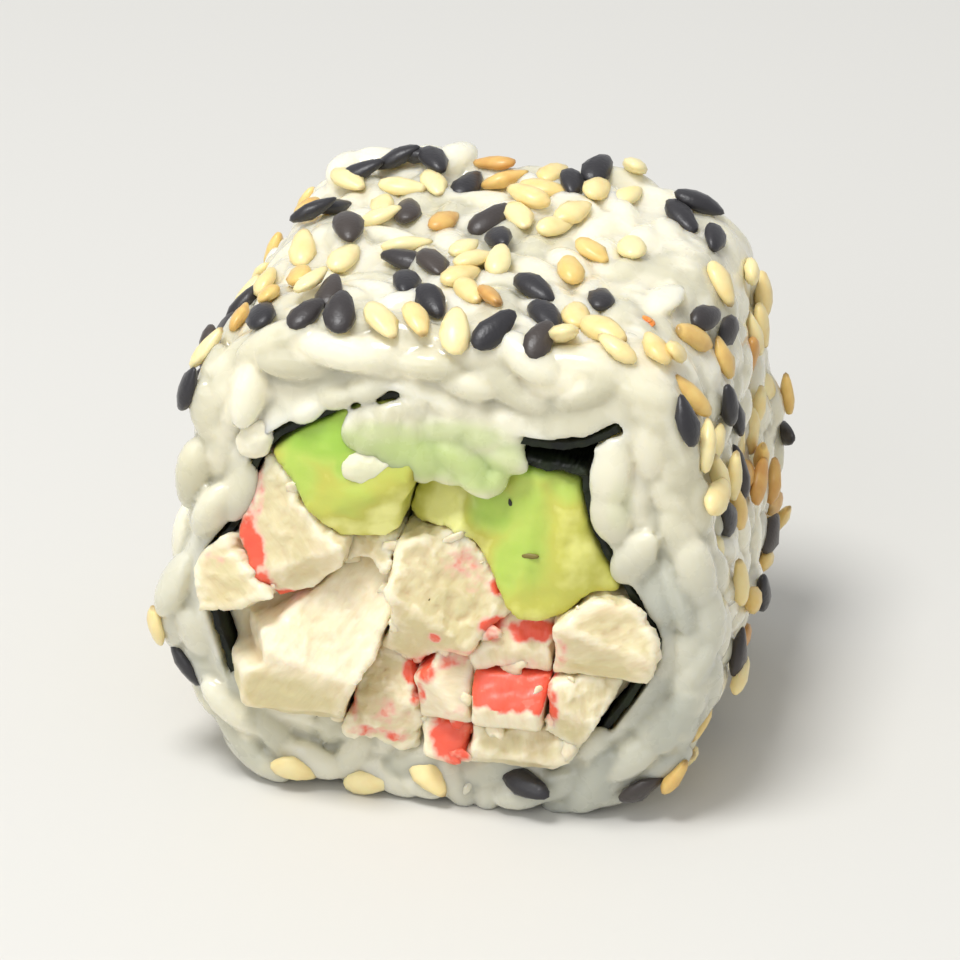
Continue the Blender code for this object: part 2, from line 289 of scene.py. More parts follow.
def positions(obj):
    values = np.empty(len(obj.data.vertices) * 3, np.float32)
    obj.data.vertices.foreach_get("co", values)
    return values.reshape(-1, 3).astype(float)


def set_positions(obj, values):
    obj.data.vertices.foreach_set("co", values.astype(np.float32).ravel())
    obj.data.update()


def store(obj, name, values):
    """Keeps one number for each point, for the materials to read."""
    attribute = obj.data.attributes.get(name) or obj.data.attributes.new(name, "FLOAT", "POINT")
    attribute.data.foreach_set("value", np.asarray(values, np.float32))


def eased(values):
    """0 to 1 with soft ends."""
    share = np.clip(values, 0, 1)
    return share * share * (3 - 2 * share)


def store_relief(obj, rounds, reach, share=1.0):
    """Keeps how far each point stands above its surroundings: -1 in a hollow, 1 on a crest, times a share."""
    place = positions(obj)
    edges = np.empty(len(obj.data.edges) * 2, np.int32)
    obj.data.edges.foreach_get("vertices", edges)
    a, b = edges.reshape(-1, 2).T
    normals = np.empty(len(place) * 3, np.float32)
    obj.data.vertex_normals.foreach_get("vector", normals)
    count = np.maximum(np.bincount(edges, minlength=len(place)), 1)
    level = place.copy()
    for _ in range(rounds):
        level = np.stack(
            [
                (np.bincount(a, level[b, k], len(place)) + np.bincount(b, level[a, k], len(place))) / count
                for k in range(3)
            ],
            axis=1,
        )
    high = ((place - level) * normals.reshape(-1, 3)).sum(1)
    store(obj, "relief", np.clip(high / reach, -1, 1) * share)


def join_all(objects, name):
    """Joins the objects' meshes into the first one."""
    select_only(*objects)
    bpy.ops.object.join()
    joined = bpy.context.view_layer.objects.active
    joined.name = name
    joined.data.name = name
    return joined


def finish_piece(obj, name, material, slot, *nodes):
    """Gives a finished piece its name, material, body and the frame nodes that it stands for."""
    obj.name = name
    obj.data.name = name
    obj.data.materials.clear()
    obj.data.materials.append(material)
    select_only(obj)
    bpy.ops.object.shade_smooth()
    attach(obj, "root")
    if nodes:
        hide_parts(*nodes)


# ---------------------------------------------------------------- small things that are strewn


def model_pip(name, length, width, thickness, segments, rings, taper):
    """One grain or seed, lying along Z: a sphere drawn out and narrowed towards its tip."""
    bpy.ops.object.select_all(action="DESELECT")
    bpy.ops.mesh.primitive_uv_sphere_add(segments=segments, ring_count=rings, radius=0.5)
    pip = bpy.context.active_object
    pip.name = name
    bpy.ops.object.mode_set(mode="EDIT")
    bpy.ops.mesh.select_all(action="SELECT")
    bpy.ops.transform.resize(value=(width, thickness, length), center_override=(0, 0, 0))
    bpy.ops.object.mode_set(mode="OBJECT")
    place = positions(pip)
    along = place[:, 2] / length + 0.5
    place[:, :2] *= (1 + 0.12 * taper - taper * eased((along - 0.3) / 0.7))[:, None]
    set_positions(pip, place)
    store(pip, "along", along)
    return pip


def placed(pip, matrix, tone):
    """A copy of the pip with its own mesh, put in its place."""
    copy = pip.copy()
    copy.data = pip.data.copy()
    copy.data.transform(matrix)
    bpy.context.scene.collection.objects.link(copy)
    store(copy, "tone", np.full(len(copy.data.vertices), tone))
    return copy


def tangent(normal, turn):
    """A direction along the surface, turned about its normal."""
    return Matrix.Rotation(turn, 3, normal) @ normal.orthogonal().normalized()


def lying(point, normal, heading, tilt=0.0, roll=0.0, size=(1, 1, 1)):
    """Where a pip lies on a surface: its flat side along the normal and its tip towards heading."""
    normal = Vector(normal).normalized()
    along = Vector(heading) - normal * normal.dot(Vector(heading))
    along = along.normalized() if along.length > 1e-6 else normal.orthogonal().normalized()
    facing = Matrix((normal.cross(along), normal, along)).transposed().to_4x4()
    lean = Matrix.Rotation(tilt, 4, "X") @ Matrix.Rotation(roll, 4, "Z")
    return Matrix.Translation(point) @ facing @ lean @ Matrix.Diagonal((*size, 1))


class Surface:
    """A closed surface that things are strewn on."""

    def __init__(self, *objects):
        places, triangles, count = [], [], 0
        for obj in objects:
            obj.data.calc_loop_triangles()
            places.append(positions(obj))
            triangles.append(np.array([t.vertices[:] for t in obj.data.loop_triangles]) + count)
            count += len(obj.data.vertices)
        self.place, self.triangles = np.concatenate(places), np.concatenate(triangles)
        corners = self.place[self.triangles]
        across = np.cross(corners[:, 1] - corners[:, 0], corners[:, 2] - corners[:, 0])
        self.area = np.linalg.norm(across, axis=1) / 2
        self.normal = across / np.maximum(np.linalg.norm(across, axis=1), 1e-12)[:, None]
        self.tree = BVHTree.FromPolygons(self.place.tolist(), self.triangles.tolist())

    def strew(self, rng, darts, spacing_at, taken=()):
        """Throws darts and keeps those that land far enough from the rest: (point, normal) pairs."""
        chosen = rng.choice(len(self.area), darts, p=self.area / self.area.sum())
        u, v = rng.random((2, darts))
        u, v = np.where(u + v > 1, 1 - u, u), np.where(u + v > 1, 1 - v, v)
        a, b, c = (self.place[self.triangles[chosen, k]] for k in range(3))
        points = a + (b - a) * u[:, None] + (c - a) * v[:, None]
        kept = [Vector(p) for p in taken]
        landed = []
        for point, normal in zip(points, self.normal[chosen]):
            point, normal = Vector(point), Vector(normal)
            spacing = spacing_at(point, normal)
            if spacing and all((point - other).length > spacing for other in kept):
                kept.append(point)
                landed.append((point, normal))
        return landed

    def drop(self, start, direction):
        """Where something let go at start lands on this surface, or None."""
        return self.tree.ray_cast(start, direction)[0]

    def outside(self, point):
        """How far a point stands out of this surface."""
        nearest, normal, _, _ = self.tree.find_nearest(point)
        return (point - nearest).dot(normal)


# ---------------------------------------------------------------- materials


def node(material, kind, inputs=None, stops=None, **settings):
    """Adds one shader node with its settings, its inputs' values or links, and a ramp's stops."""
    made = material.node_tree.nodes.new(kind)
    for key, value in settings.items():
        setattr(made, key, value)
    if stops:
        elements = made.color_ramp.elements
        while len(elements) < len(stops):
            elements.new(0.5)
        for element, (at, colour) in zip(elements, stops):
            element.position = at
            element.color = colour
    for key, value in (inputs or {}).items():
        if isinstance(value, bpy.types.NodeSocket):
            material.node_tree.links.new(value, made.inputs[key])
        else:
            made.inputs[key].default_value = value
    return made


def new_material(name, **sockets):
    """A material whose shader has these constant values."""
    material = bpy.data.materials.new(name)
    material.use_nodes = True
    shader = material.node_tree.nodes["Principled BSDF"]
    for key, value in sockets.items():
        shader.inputs[key.replace("_", " ")].default_value = value
    return material, shader


def link(material, socket, shader, name):
    material.node_tree.links.new(socket, shader.inputs[name])


def cooked_rice(name, settings, reach):
    """Cooked short-grain rice, steamed and pressed: milky and translucent, with a damp starch film."""
    material, shader = new_material(
        name,
        Subsurface_Weight=0.85,
        Subsurface_Radius=(1.0, 0.93, 0.72),
        Subsurface_Scale=reach,
        IOR=1.4,
        Specular_IOR_Level=0.5,
        Coat_Weight=0.8,
        Coat_Roughness=0.09,
        Coat_IOR=1.36,
    )
    place = node(material, "ShaderNodeTexCoord").outputs["Object"]
    tone = node(material, "ShaderNodeAttribute", attribute_name="tone").outputs["Fac"]
    relief = node(material, "ShaderNodeAttribute", attribute_name="relief").outputs["Fac"]
    stain = node(material, "ShaderNodeAttribute", attribute_name="stain").outputs["Fac"]
    glassy_and_shade = node(material, "ShaderNodeAttribute", attribute_name="glassy_and_shade").outputs["Fac"]
    # clouds of 5 mm: where the rice was pressed thinner or is wetter
    damp = node(material, "ShaderNodeTexNoise", {"Vector": place, "Scale": 200.0, "Detail": 2.0}).outputs["Fac"]
    mixed = node(material, "ShaderNodeMath", {0: tone, 1: damp}, operation="ADD").outputs[0]
    half = node(material, "ShaderNodeMath", {0: mixed, 1: 0.5}, operation="MULTIPLY").outputs[0]
    grain = node(
        material, "ShaderNodeValToRGB", {"Fac": half}, stops=((0.32, settings.dull), (0.66, settings.bright))
    ).outputs["Color"]
    # some grains are clearer than their neighbours
    own = node(material, "ShaderNodeMapRange", {"Value": tone, "To Min": 1.25, "To Max": 0.6}).outputs["Result"]
    # painted shade and glassy rice: low on the cut and up the walls the grain turns to the glassy grey
    share = node(material, "ShaderNodeMath", {0: glassy_and_shade, 1: own}, operation="MULTIPLY", use_clamp=True).outputs[0]
    clear = node(material, "ShaderNodeMix", {0: share, 6: grain, 7: settings.glassy_and_shade}, data_type="RGBA").outputs[2]
    # painted shade, partly thinner rice: the hollows of the relief between grains darken towards the hollow colour
    deep = node(
        material, "ShaderNodeMapRange", {"Value": relief, "From Min": 0.0, "From Max": -0.9, "To Max": 0.6}
    ).outputs["Result"]
    thin = node(material, "ShaderNodeMix", {0: deep, 6: clear, 7: settings.hollow}, data_type="RGBA").outputs[2]
    rubbed = node(material, "ShaderNodeMath", {0: stain, 1: 0.75}, operation="MULTIPLY").outputs[0]
    colour = node(material, "ShaderNodeMix", {0: rubbed, 6: thin, 7: settings.stain}, data_type="RGBA").outputs[2]
    link(material, colour, shader, "Base Color")
    # a film of starch, patchy every 1.5 mm
    film = node(material, "ShaderNodeTexNoise", {"Vector": place, "Scale": 650.0, "Detail": 3.0}).outputs["Fac"]
    rough = node(
        material, "ShaderNodeMapRange", {"Value": film, "From Min": 0.3, "From Max": 0.7, "To Min": 0.16, "To Max": 0.44}
    ).outputs["Result"]
    link(material, rough, shader, "Roughness")
    fine = node(material, "ShaderNodeTexNoise", {"Vector": place, "Scale": 1400.0, "Detail": 3.0}).outputs["Fac"]
    bump = node(
        material, "ShaderNodeBump", {"Height": fine, "Strength": 0.2, "Distance": 0.1 * MM}
    ).outputs["Normal"]
    link(material, bump, shader, "Normal")
    return material


def pressed_seaweed(body, thin):
    """Toasted nori gone damp: near black, with the faint green mottle of the pressed blades."""
    material, shader = new_material("damp_toasted_nori", IOR=1.45, Specular_IOR_Level=0.35)
    place = node(material, "ShaderNodeTexCoord").outputs["Object"]
    blades = node(
        material, "ShaderNodeTexVoronoi", {"Vector": place, "Scale": 900.0, "Randomness": 1.0}, feature="SMOOTH_F1"
    ).outputs["Distance"]
    colour = node(
        material, "ShaderNodeValToRGB", {"Fac": blades}, stops=((0.25, body), (0.85, thin))
    ).outputs["Color"]
    link(material, colour, shader, "Base Color")
    rough = node(
        material, "ShaderNodeMapRange", {"Value": blades, "To Min": 0.38, "To Max": 0.7}
    ).outputs["Result"]
    link(material, rough, shader, "Roughness")
    bump = node(
        material, "ShaderNodeBump", {"Height": blades, "Strength": 0.6, "Distance": 0.08 * MM}
    ).outputs["Normal"]
    link(material, bump, shader, "Normal")
    return material


def ripe_avocado(settings):
    """Ripe avocado cut with a knife: buttery flesh, yellow at the stone and green under the skin."""
    material, shader = new_material(
        "ripe_avocado_flesh",
        Subsurface_Weight=0.35,
        Subsurface_Radius=(1.0, 0.9, 0.25),
        Subsurface_Scale=1.2 * MM,
        IOR=1.42,
        Coat_Weight=0.12,
        Coat_Roughness=0.3,
    )
    place = node(material, "ShaderNodeTexCoord").outputs["Object"]
    green = node(material, "ShaderNodeAttribute", attribute_name="green").outputs["Fac"]
    relief = node(material, "ShaderNodeAttribute", attribute_name="relief").outputs["Fac"]
    # mottle of 2.5 mm, so that the change of colour has no clean line
    mottle = node(material, "ShaderNodeTexNoise", {"Vector": place, "Scale": 400.0, "Detail": 3.0}).outputs["Fac"]
    shift = node(
        material, "ShaderNodeMapRange", {"Value": mottle, "From Min": 0.3, "From Max": 0.7, "To Min": -0.14, "To Max": 0.14}
    ).outputs["Result"]
    moved = node(material, "ShaderNodeMath", {0: green, 1: shift}, operation="ADD").outputs[0]
    flesh = node(
        material, "ShaderNodeValToRGB", {"Fac": moved},
        stops=((0.0, settings.pale), (0.22, settings.yellow), (0.6, settings.green), (1.0, settings.deep)),
    ).outputs["Color"]
    # painted shade: hollows of the relief and the creases where the slices meet darken towards the olive shade colour
    hollow = node(
        material, "ShaderNodeMapRange", {"Value": relief, "From Min": -0.3, "From Max": -1.0, "To Max": 0.35}
    ).outputs["Result"]
    crease = node(material, "ShaderNodeAttribute", attribute_name="crease").outputs["Fac"]
    shade_mask = node(material, "ShaderNodeMath", {0: hollow, 1: crease}, operation="MAXIMUM").outputs[0]
    colour = node(material, "ShaderNodeMix", {0: shade_mask, 6: flesh, 7: settings.crease_shade}, data_type="RGBA").outputs[2]
    link(material, colour, shader, "Base Color")
    rough = node(
        material, "ShaderNodeMapRange", {"Value": mottle, "From Min": 0.3, "From Max": 0.7, "To Min": 0.3, "To Max": 0.46}
    ).outputs["Result"]
    link(material, rough, shader, "Roughness")
    fine = node(material, "ShaderNodeTexNoise", {"Vector": place, "Scale": 1500.0, "Detail": 4.0}).outputs["Fac"]
    bump = node(
        material, "ShaderNodeBump", {"Height": fine, "Strength": 0.4, "Distance": 0.08 * MM}
    ).outputs["Normal"]
    link(material, bump, shader, "Normal")
    return material


def crab_stick(name, settings, reach):
    """Surimi, set fish paste in fine strands: cream inside, with a skin dyed red that bleeds a little."""
    material, shader = new_material(
        name,
        Subsurface_Weight=0.6,
        Subsurface_Radius=(1.0, 0.75, 0.45),
        Subsurface_Scale=reach,
        IOR=1.4,
        Coat_Weight=0.18,
        Coat_Roughness=0.25,
    )
    place = node(material, "ShaderNodeTexCoord").outputs["Object"]
    dye = node(material, "ShaderNodeAttribute", attribute_name="dye").outputs["Fac"]
    relief = node(material, "ShaderNodeAttribute", attribute_name="relief").outputs["Fac"]
    # strands half a millimetre thick, which lie another way in each chunk
    lay = node(material, "ShaderNodeAttribute", attribute_name="lay").outputs["Fac"]
    turned = node(
        material, "ShaderNodeVectorRotate", {"Vector": place, "Angle": lay}, rotation_type="Y_AXIS"
    ).outputs["Vector"]
    along = node(material, "ShaderNodeMapping", {"Vector": turned, "Scale": (1.0, 0.4, 0.25)}).outputs["Vector"]
    strands = node(material, "ShaderNodeTexNoise", {"Vector": along, "Scale": 1200.0, "Detail": 3.0}).outputs["Fac"]
    # painted shade in the hollows of the relief; the gaps between the strands darken towards the same shade colour
    pores = node(
        material, "ShaderNodeMapRange", {"Value": relief, "From Min": 0.0, "From Max": -0.8, "To Max": 0.7}
    ).outputs["Result"]
    between = node(
        material, "ShaderNodeMapRange", {"Value": strands, "From Min": 0.5, "From Max": 0.25, "To Max": 0.4}
    ).outputs["Result"]
    dark = node(material, "ShaderNodeMath", {0: pores, 1: between}, operation="MAXIMUM").outputs[0]
    tone = node(material, "ShaderNodeAttribute", attribute_name="tone").outputs["Fac"]
    # dressing soaks in unevenly, in patches of 3 mm
    soaked = node(material, "ShaderNodeTexNoise", {"Vector": place, "Scale": 330.0, "Detail": 2.0}).outputs["Fac"]
    share = node(
        material, "ShaderNodeMapRange", {"Value": soaked, "From Min": 0.3, "From Max": 0.7, "To Min": -0.25, "To Max": 0.25}
    ).outputs["Result"]
    # the relief's crests are paler cream
    edge = node(
        material, "ShaderNodeMapRange", {"Value": relief, "From Min": 0.1, "From Max": 0.8, "To Max": -0.7}
    ).outputs["Result"]
    uneven = node(material, "ShaderNodeMath", {0: share, 1: edge}, operation="ADD").outputs[0]
    warmth = node(material, "ShaderNodeMath", {0: tone, 1: uneven}, operation="ADD", use_clamp=True).outputs[0]
    flesh = node(material, "ShaderNodeMix", {0: warmth, 6: settings.cream, 7: settings.warm}, data_type="RGBA").outputs[2]
    paste = node(material, "ShaderNodeMix", {0: dark, 6: flesh, 7: settings.shade}, data_type="RGBA").outputs[2]
    # the dye's edge is ragged at about 0.8 mm
    ragged = node(material, "ShaderNodeTexNoise", {"Vector": place, "Scale": 1250.0, "Detail": 2.0}).outputs["Fac"]
    pull = node(
        material, "ShaderNodeMapRange", {"Value": ragged, "From Min": 0.3, "From Max": 0.7, "To Min": -0.28, "To Max": 0.28}
    ).outputs["Result"]
    there = node(
        material, "ShaderNodeMapRange", {"Value": dye, "From Min": 0.02, "From Max": 0.3}
    ).outputs["Result"]
    pulled = node(material, "ShaderNodeMath", {0: pull, 1: there}, operation="MULTIPLY").outputs[0]
    moved = node(material, "ShaderNodeMath", {0: dye, 1: pulled}, operation="ADD").outputs[0]
    bleed = node(
        material, "ShaderNodeMapRange", {"Value": moved, "From Min": 0.1, "From Max": 0.55}, interpolation_type="SMOOTHSTEP"
    ).outputs["Result"]
    blushed = node(material, "ShaderNodeMix", {0: bleed, 6: paste, 7: settings.blush}, data_type="RGBA").outputs[2]
    coat = node(
        material, "ShaderNodeMapRange", {"Value": moved, "From Min": 0.4, "From Max": 0.82}, interpolation_type="SMOOTHSTEP"
    ).outputs["Result"]
    colour = node(material, "ShaderNodeMix", {0: coat, 6: blushed, 7: settings.dye}, data_type="RGBA").outputs[2]
    link(material, colour, shader, "Base Color")
    rough = node(
        material, "ShaderNodeMapRange", {"Value": strands, "From Min": 0.3, "From Max": 0.7, "To Min": 0.34, "To Max": 0.56}
    ).outputs["Result"]
    link(material, rough, shader, "Roughness")
    bump = node(
        material, "ShaderNodeBump", {"Height": strands, "Strength": 0.8, "Distance": 0.22 * MM}
    ).outputs["Normal"]
    link(material, bump, shader, "Normal")
    return material


def hulled_sesame(settings):
    """Hulled and toasted white sesame: cream to golden, satin with oil, with a brown point."""
    material, shader = new_material(
        "toasted_white_sesame",
        Subsurface_Weight=0.25,
        Subsurface_Radius=(1.0, 0.7, 0.3),
        Subsurface_Scale=0.5 * MM,
        IOR=1.46,
        Roughness=0.36,
        Coat_Weight=0.15,
        Coat_Roughness=0.25,
    )
    place = node(material, "ShaderNodeTexCoord").outputs["Object"]
    tone = node(material, "ShaderNodeAttribute", attribute_name="tone").outputs["Fac"]
    along = node(material, "ShaderNodeAttribute", attribute_name="along").outputs["Fac"]
    patch = node(material, "ShaderNodeTexNoise", {"Vector": place, "Scale": 900.0, "Detail": 2.0}).outputs["Fac"]
    uneven = node(
        material, "ShaderNodeMapRange", {"Value": patch, "From Min": 0.3, "From Max": 0.7, "To Min": -0.12, "To Max": 0.12}
    ).outputs["Result"]
    roast = node(material, "ShaderNodeMath", {0: tone, 1: uneven}, operation="ADD").outputs[0]
    body = node(
        material, "ShaderNodeValToRGB", {"Fac": roast},
        stops=((0.05, settings.cream), (0.6, settings.golden), (1.0, settings.toasted)),
    ).outputs["Color"]
    point = node(
        material, "ShaderNodeMapRange", {"Value": along, "From Min": 0.90, "From Max": 1.0, "To Max": 0.75}
    ).outputs["Result"]
    colour = node(material, "ShaderNodeMix", {0: point, 6: body, 7: settings.tip}, data_type="RGBA").outputs[2]
    link(material, colour, shader, "Base Color")
    bump = node(
        material, "ShaderNodeBump", {"Height": patch, "Strength": 0.3, "Distance": 0.08 * MM}
    ).outputs["Normal"]
    link(material, bump, shader, "Normal")
    return material


def black_sesame(settings):
    """Unhulled black sesame: a thin matt husk with a dull grey sheen and a fine pitted skin."""
    material, shader = new_material(
        "black_sesame_husk", IOR=1.5, Roughness=0.42, Sheen_Weight=0.15, Sheen_Roughness=0.4, Coat_Weight=0.1,
        Coat_Roughness=0.35,
    )
    place = node(material, "ShaderNodeTexCoord").outputs["Object"]
    tone = node(material, "ShaderNodeAttribute", attribute_name="tone").outputs["Fac"]
    body = node(
        material, "ShaderNodeValToRGB", {"Fac": tone}, stops=((0.55, settings.black), (1.0, settings.brown))
    ).outputs["Color"]
    link(material, body, shader, "Base Color")
    pits = node(material, "ShaderNodeTexNoise", {"Vector": place, "Scale": 4200.0, "Detail": 2.0}).outputs["Fac"]
    bump = node(
        material, "ShaderNodeBump", {"Height": pits, "Strength": 0.5, "Distance": 0.06 * MM}
    ).outputs["Normal"]
    link(material, bump, shader, "Normal")
    return material


# ---------------------------------------------------------------- pieces


def patches(obj, spots):
    """How strongly a colour shows at each point: the strongest of the spots, which run along the roll.
    A spot is (x, z, radius across, radius up, strength), in the section's millimetres."""
    place = positions(obj)
    x, z = (place[:, 0] - SECTION_X) / MM, place[:, 2] / MM
    value = np.zeros(len(place))
    for spot_x, spot_z, across, up, strength in spots:
        distance = np.hypot((x - spot_x) / across, (z - spot_z) / up)
        value = np.maximum(value, strength * eased(1.5 - distance))
    return value


def outline_surface():
    """The rice's outline, smoothed, which gives places and directions for what lies on it."""
    guide = copy_of_node("rice", "outline_guide")
    apply_modifier(guide, "SMOOTH", factor=0.5, iterations=6)
    surface = Surface(guide)
    bpy.data.objects.remove(guide)
    return surface


def seaweed_tree():
    source = frame["nodes"]["nori"].data
    source.calc_loop_triangles()
    points = [v.co[:] for v in source.vertices]
    return BVHTree.FromPolygons(points, [t.vertices[:] for t in source.loop_triangles])


def pressed_smooth(point):
    """How hard the mat has pressed the rice here: 1 on the bare patch at the upper right."""
    x, z = (point.x - SECTION_X) / MM, point.z / MM
    return float(max(eased((x - 6) / 5) * eased((z - 20) / 7), 0.55 * eased((z - 28.5) / 3)))


def left_rough(point):
    """How loosely the rice hangs together here: 1 low on the left and under the front edge."""
    x = (point.x - SECTION_X) / MM
    return float(max(eased((-x - 9) / 6) * eased((29 - point.z / MM) / 6), 0.8 * eased((7 - point.z / MM) / 4)))


def heading_inside(outline, seaweed, middle, normal, reach, slack, rng):
    """A heading that keeps a grain's tips inside the outline and off the seaweed, and the length that fits."""
    best = None
    for length in (1.0, 0.8, 0.6, 0.45):
        for _ in range(7):
            heading = tangent(normal, rng.uniform(0, math.tau))
            tips = [middle + heading * side * reach * length for side in (-1, 1)]
            out = max(outline.outside(tip) for tip in tips) - slack
            out = max(out, max(0.8 * MM - seaweed.find_nearest(tip)[3] for tip in tips))
            if best is None or out < best[0]:
                best = (out, heading, length)
        if best[0] < 0:
            break
    return best[1:]


def store_rice(obj, stains):
    """Stores what the rice's material reads, apart from the tone."""
    place = positions(obj)
    x, z = (place[:, 0] - SECTION_X) / MM, place[:, 2] / MM
    # Painted shade as well as glassy rice: grey low on the cut, rising up the right wall, and on the lower left wall,
    # partly where the seaweed shows through, partly for the shade there
    low = (0.55 + 0.35 * eased(x / 6)) * eased((9 + 14 * eased((x - 6) / 5) - z) / 8)
    left = 0.65 * eased((-x - 9) / 4) * eased((22 - z) / 6) * eased((z - 3) / 4)
    store(obj, "glassy_and_shade", np.maximum(low, left) * eased((CUT_FRONT + 4 * MM - place[:, 1]) / (4 * MM)))
    store(obj, "stain", patches(obj, stains))
    pressed = np.maximum(eased((x - 6) / 5) * eased((z - 20) / 7), 0.8 * eased((z - 28.5) / 3))
    store_relief(obj, 14, 0.28 * MM, 1 - 0.7 * pressed)


def spread_over_seaweed(x, z):
    """Where the knife has drawn rice over the seaweed's edge, in the section's millimetres."""
    return (z < 6.9 and x < 9.0) or (z > 25.9 and -2.2 < x < 4.6)


# Grains drawn over the avocado and loose ones round the cut: x, z and reach in the section, heading in
# degrees, length and width
DRAWN_GRAINS = (
    (-4.8, 25.7, 0.5, 75, 0.5, 1.0), (-3.9, 25.8, 0.7, 60, 0.6, 1.0), (-2.9, 25.6, 0.8, 100, 0.8, 1.0),
    (-2.0, 25.0, 0.8, 80, 0.8, 1.0), (-4.0, 26.6, 0.4, 15, 0.7, 0.8), (-1.2, 24.4, 0.8, 110, 0.6, 0.9),
    (-8.2, 26.6, 0.15, 30, 0.45, 0.6), (-6.3, 27.7, 0.15, 20, 0.5, 0.6), (-4.4, 28.5, 0.15, 15, 0.5, 0.6),
    (9.7, 5.5, 0.3, 50, 0.5, 0.7),
    (-1.4, 26.9, 0.1, -10, 0.9, 0.9), (0.8, 26.4, 0.1, 5, 1.0, 1.0), (3.0, 25.6, 0.1, -20, 0.9, 0.9),
    (-2.4, 24.9, 0.3, 20, 0.8, 0.9), (-0.2, 24.6, 0.4, -30, 0.9, 0.9), (1.6, 24.2, 0.5, -35, 0.8, 0.8),
    (4.0, 24.8, 0.3, 160, 0.6, 0.7), (2.2, 23.1, 0.5, -40, 0.55, 0.6), (1.4, 27.4, -0.2, 0, 1.0, 0.9),
    (-1.0, 25.6, 0.3, 15, 0.9, 0.9), (2.6, 26.8, -0.1, 10, 0.9, 0.9), (0.4, 23.6, 0.4, -25, 0.5, 0.7),
    (3.6, 23.4, 0.35, 70, 0.45, 0.6), (-1.6, 23.9, 0.25, 150, 0.4, 0.5),
    (10.5, 24.4, 0.3, 84, 0.9, 1.0), (10.5, 21.6, 0.35, 104, 0.7, 0.95), (12.1, 18.9, 0.35, 60, 0.8, 1.0),
    (13.6, 16.6, 0.1, 100, 0.8, 0.9), (-12.6, 20.6, 0.1, 70, 0.8, 0.9),
    (-10.6, 3.4, 0.3, -50, 0.9, 0.8), (-8.2, 2.0, 0.5, -20, 0.8, 0.9), (-5.6, 2.6, 0.3, 60, 0.7, 0.8),
    (-3.4, 1.4, 0.4, -30, 0.8, 0.8), (-1.6, 2.8, 0.3, 20, 0.7, 0.8), (0.9, 1.5, 0.4, -60, 0.7, 0.8),
    (3.4, 2.7, 0.35, 15, 0.8, 0.9), (3.2, 1.0, 0.3, 70, 0.5, 0.7), (7.4, 2.2, 0.4, 30, 0.8, 0.8),
    (9.8, 3.0, 0.4, 60, 0.9, 0.9), (12.4, 4.9, 0.3, 45, 0.9, 0.9), (14.6, 7.6, 0.2, 70, 0.9, 0.9),
)  # fmt: skip
RICE_STAINS = (
    (-1.4, 24.7, 4.0, 1.6, 1.0), (2.6, 23.9, 2.4, 1.4, 1.0), (-5.0, 25.2, 1.8, 1.0, 0.8), (1.2, 26.2, 3.0, 0.9, 0.65),
    (-2.8, 26.2, 2.2, 0.7, 0.6), (4.4, 25.2, 1.2, 0.9, 0.6), (11.2, 22.6, 0.7, 1.6, 0.18),
)
# Grains that stand proud on the far edge of the top and one that lies flat on its bare part: x and depth
# from the cut, heading in degrees, thickness
PROUD_GRAINS = ((-11.6, 25.2, 80, 1), (-9.6, 25.9, 10, 1), (-6.6, 26.3, 20, 1), (-4.6, 26.0, 70, 1), (11.7, 10.8, 70, 0.5))


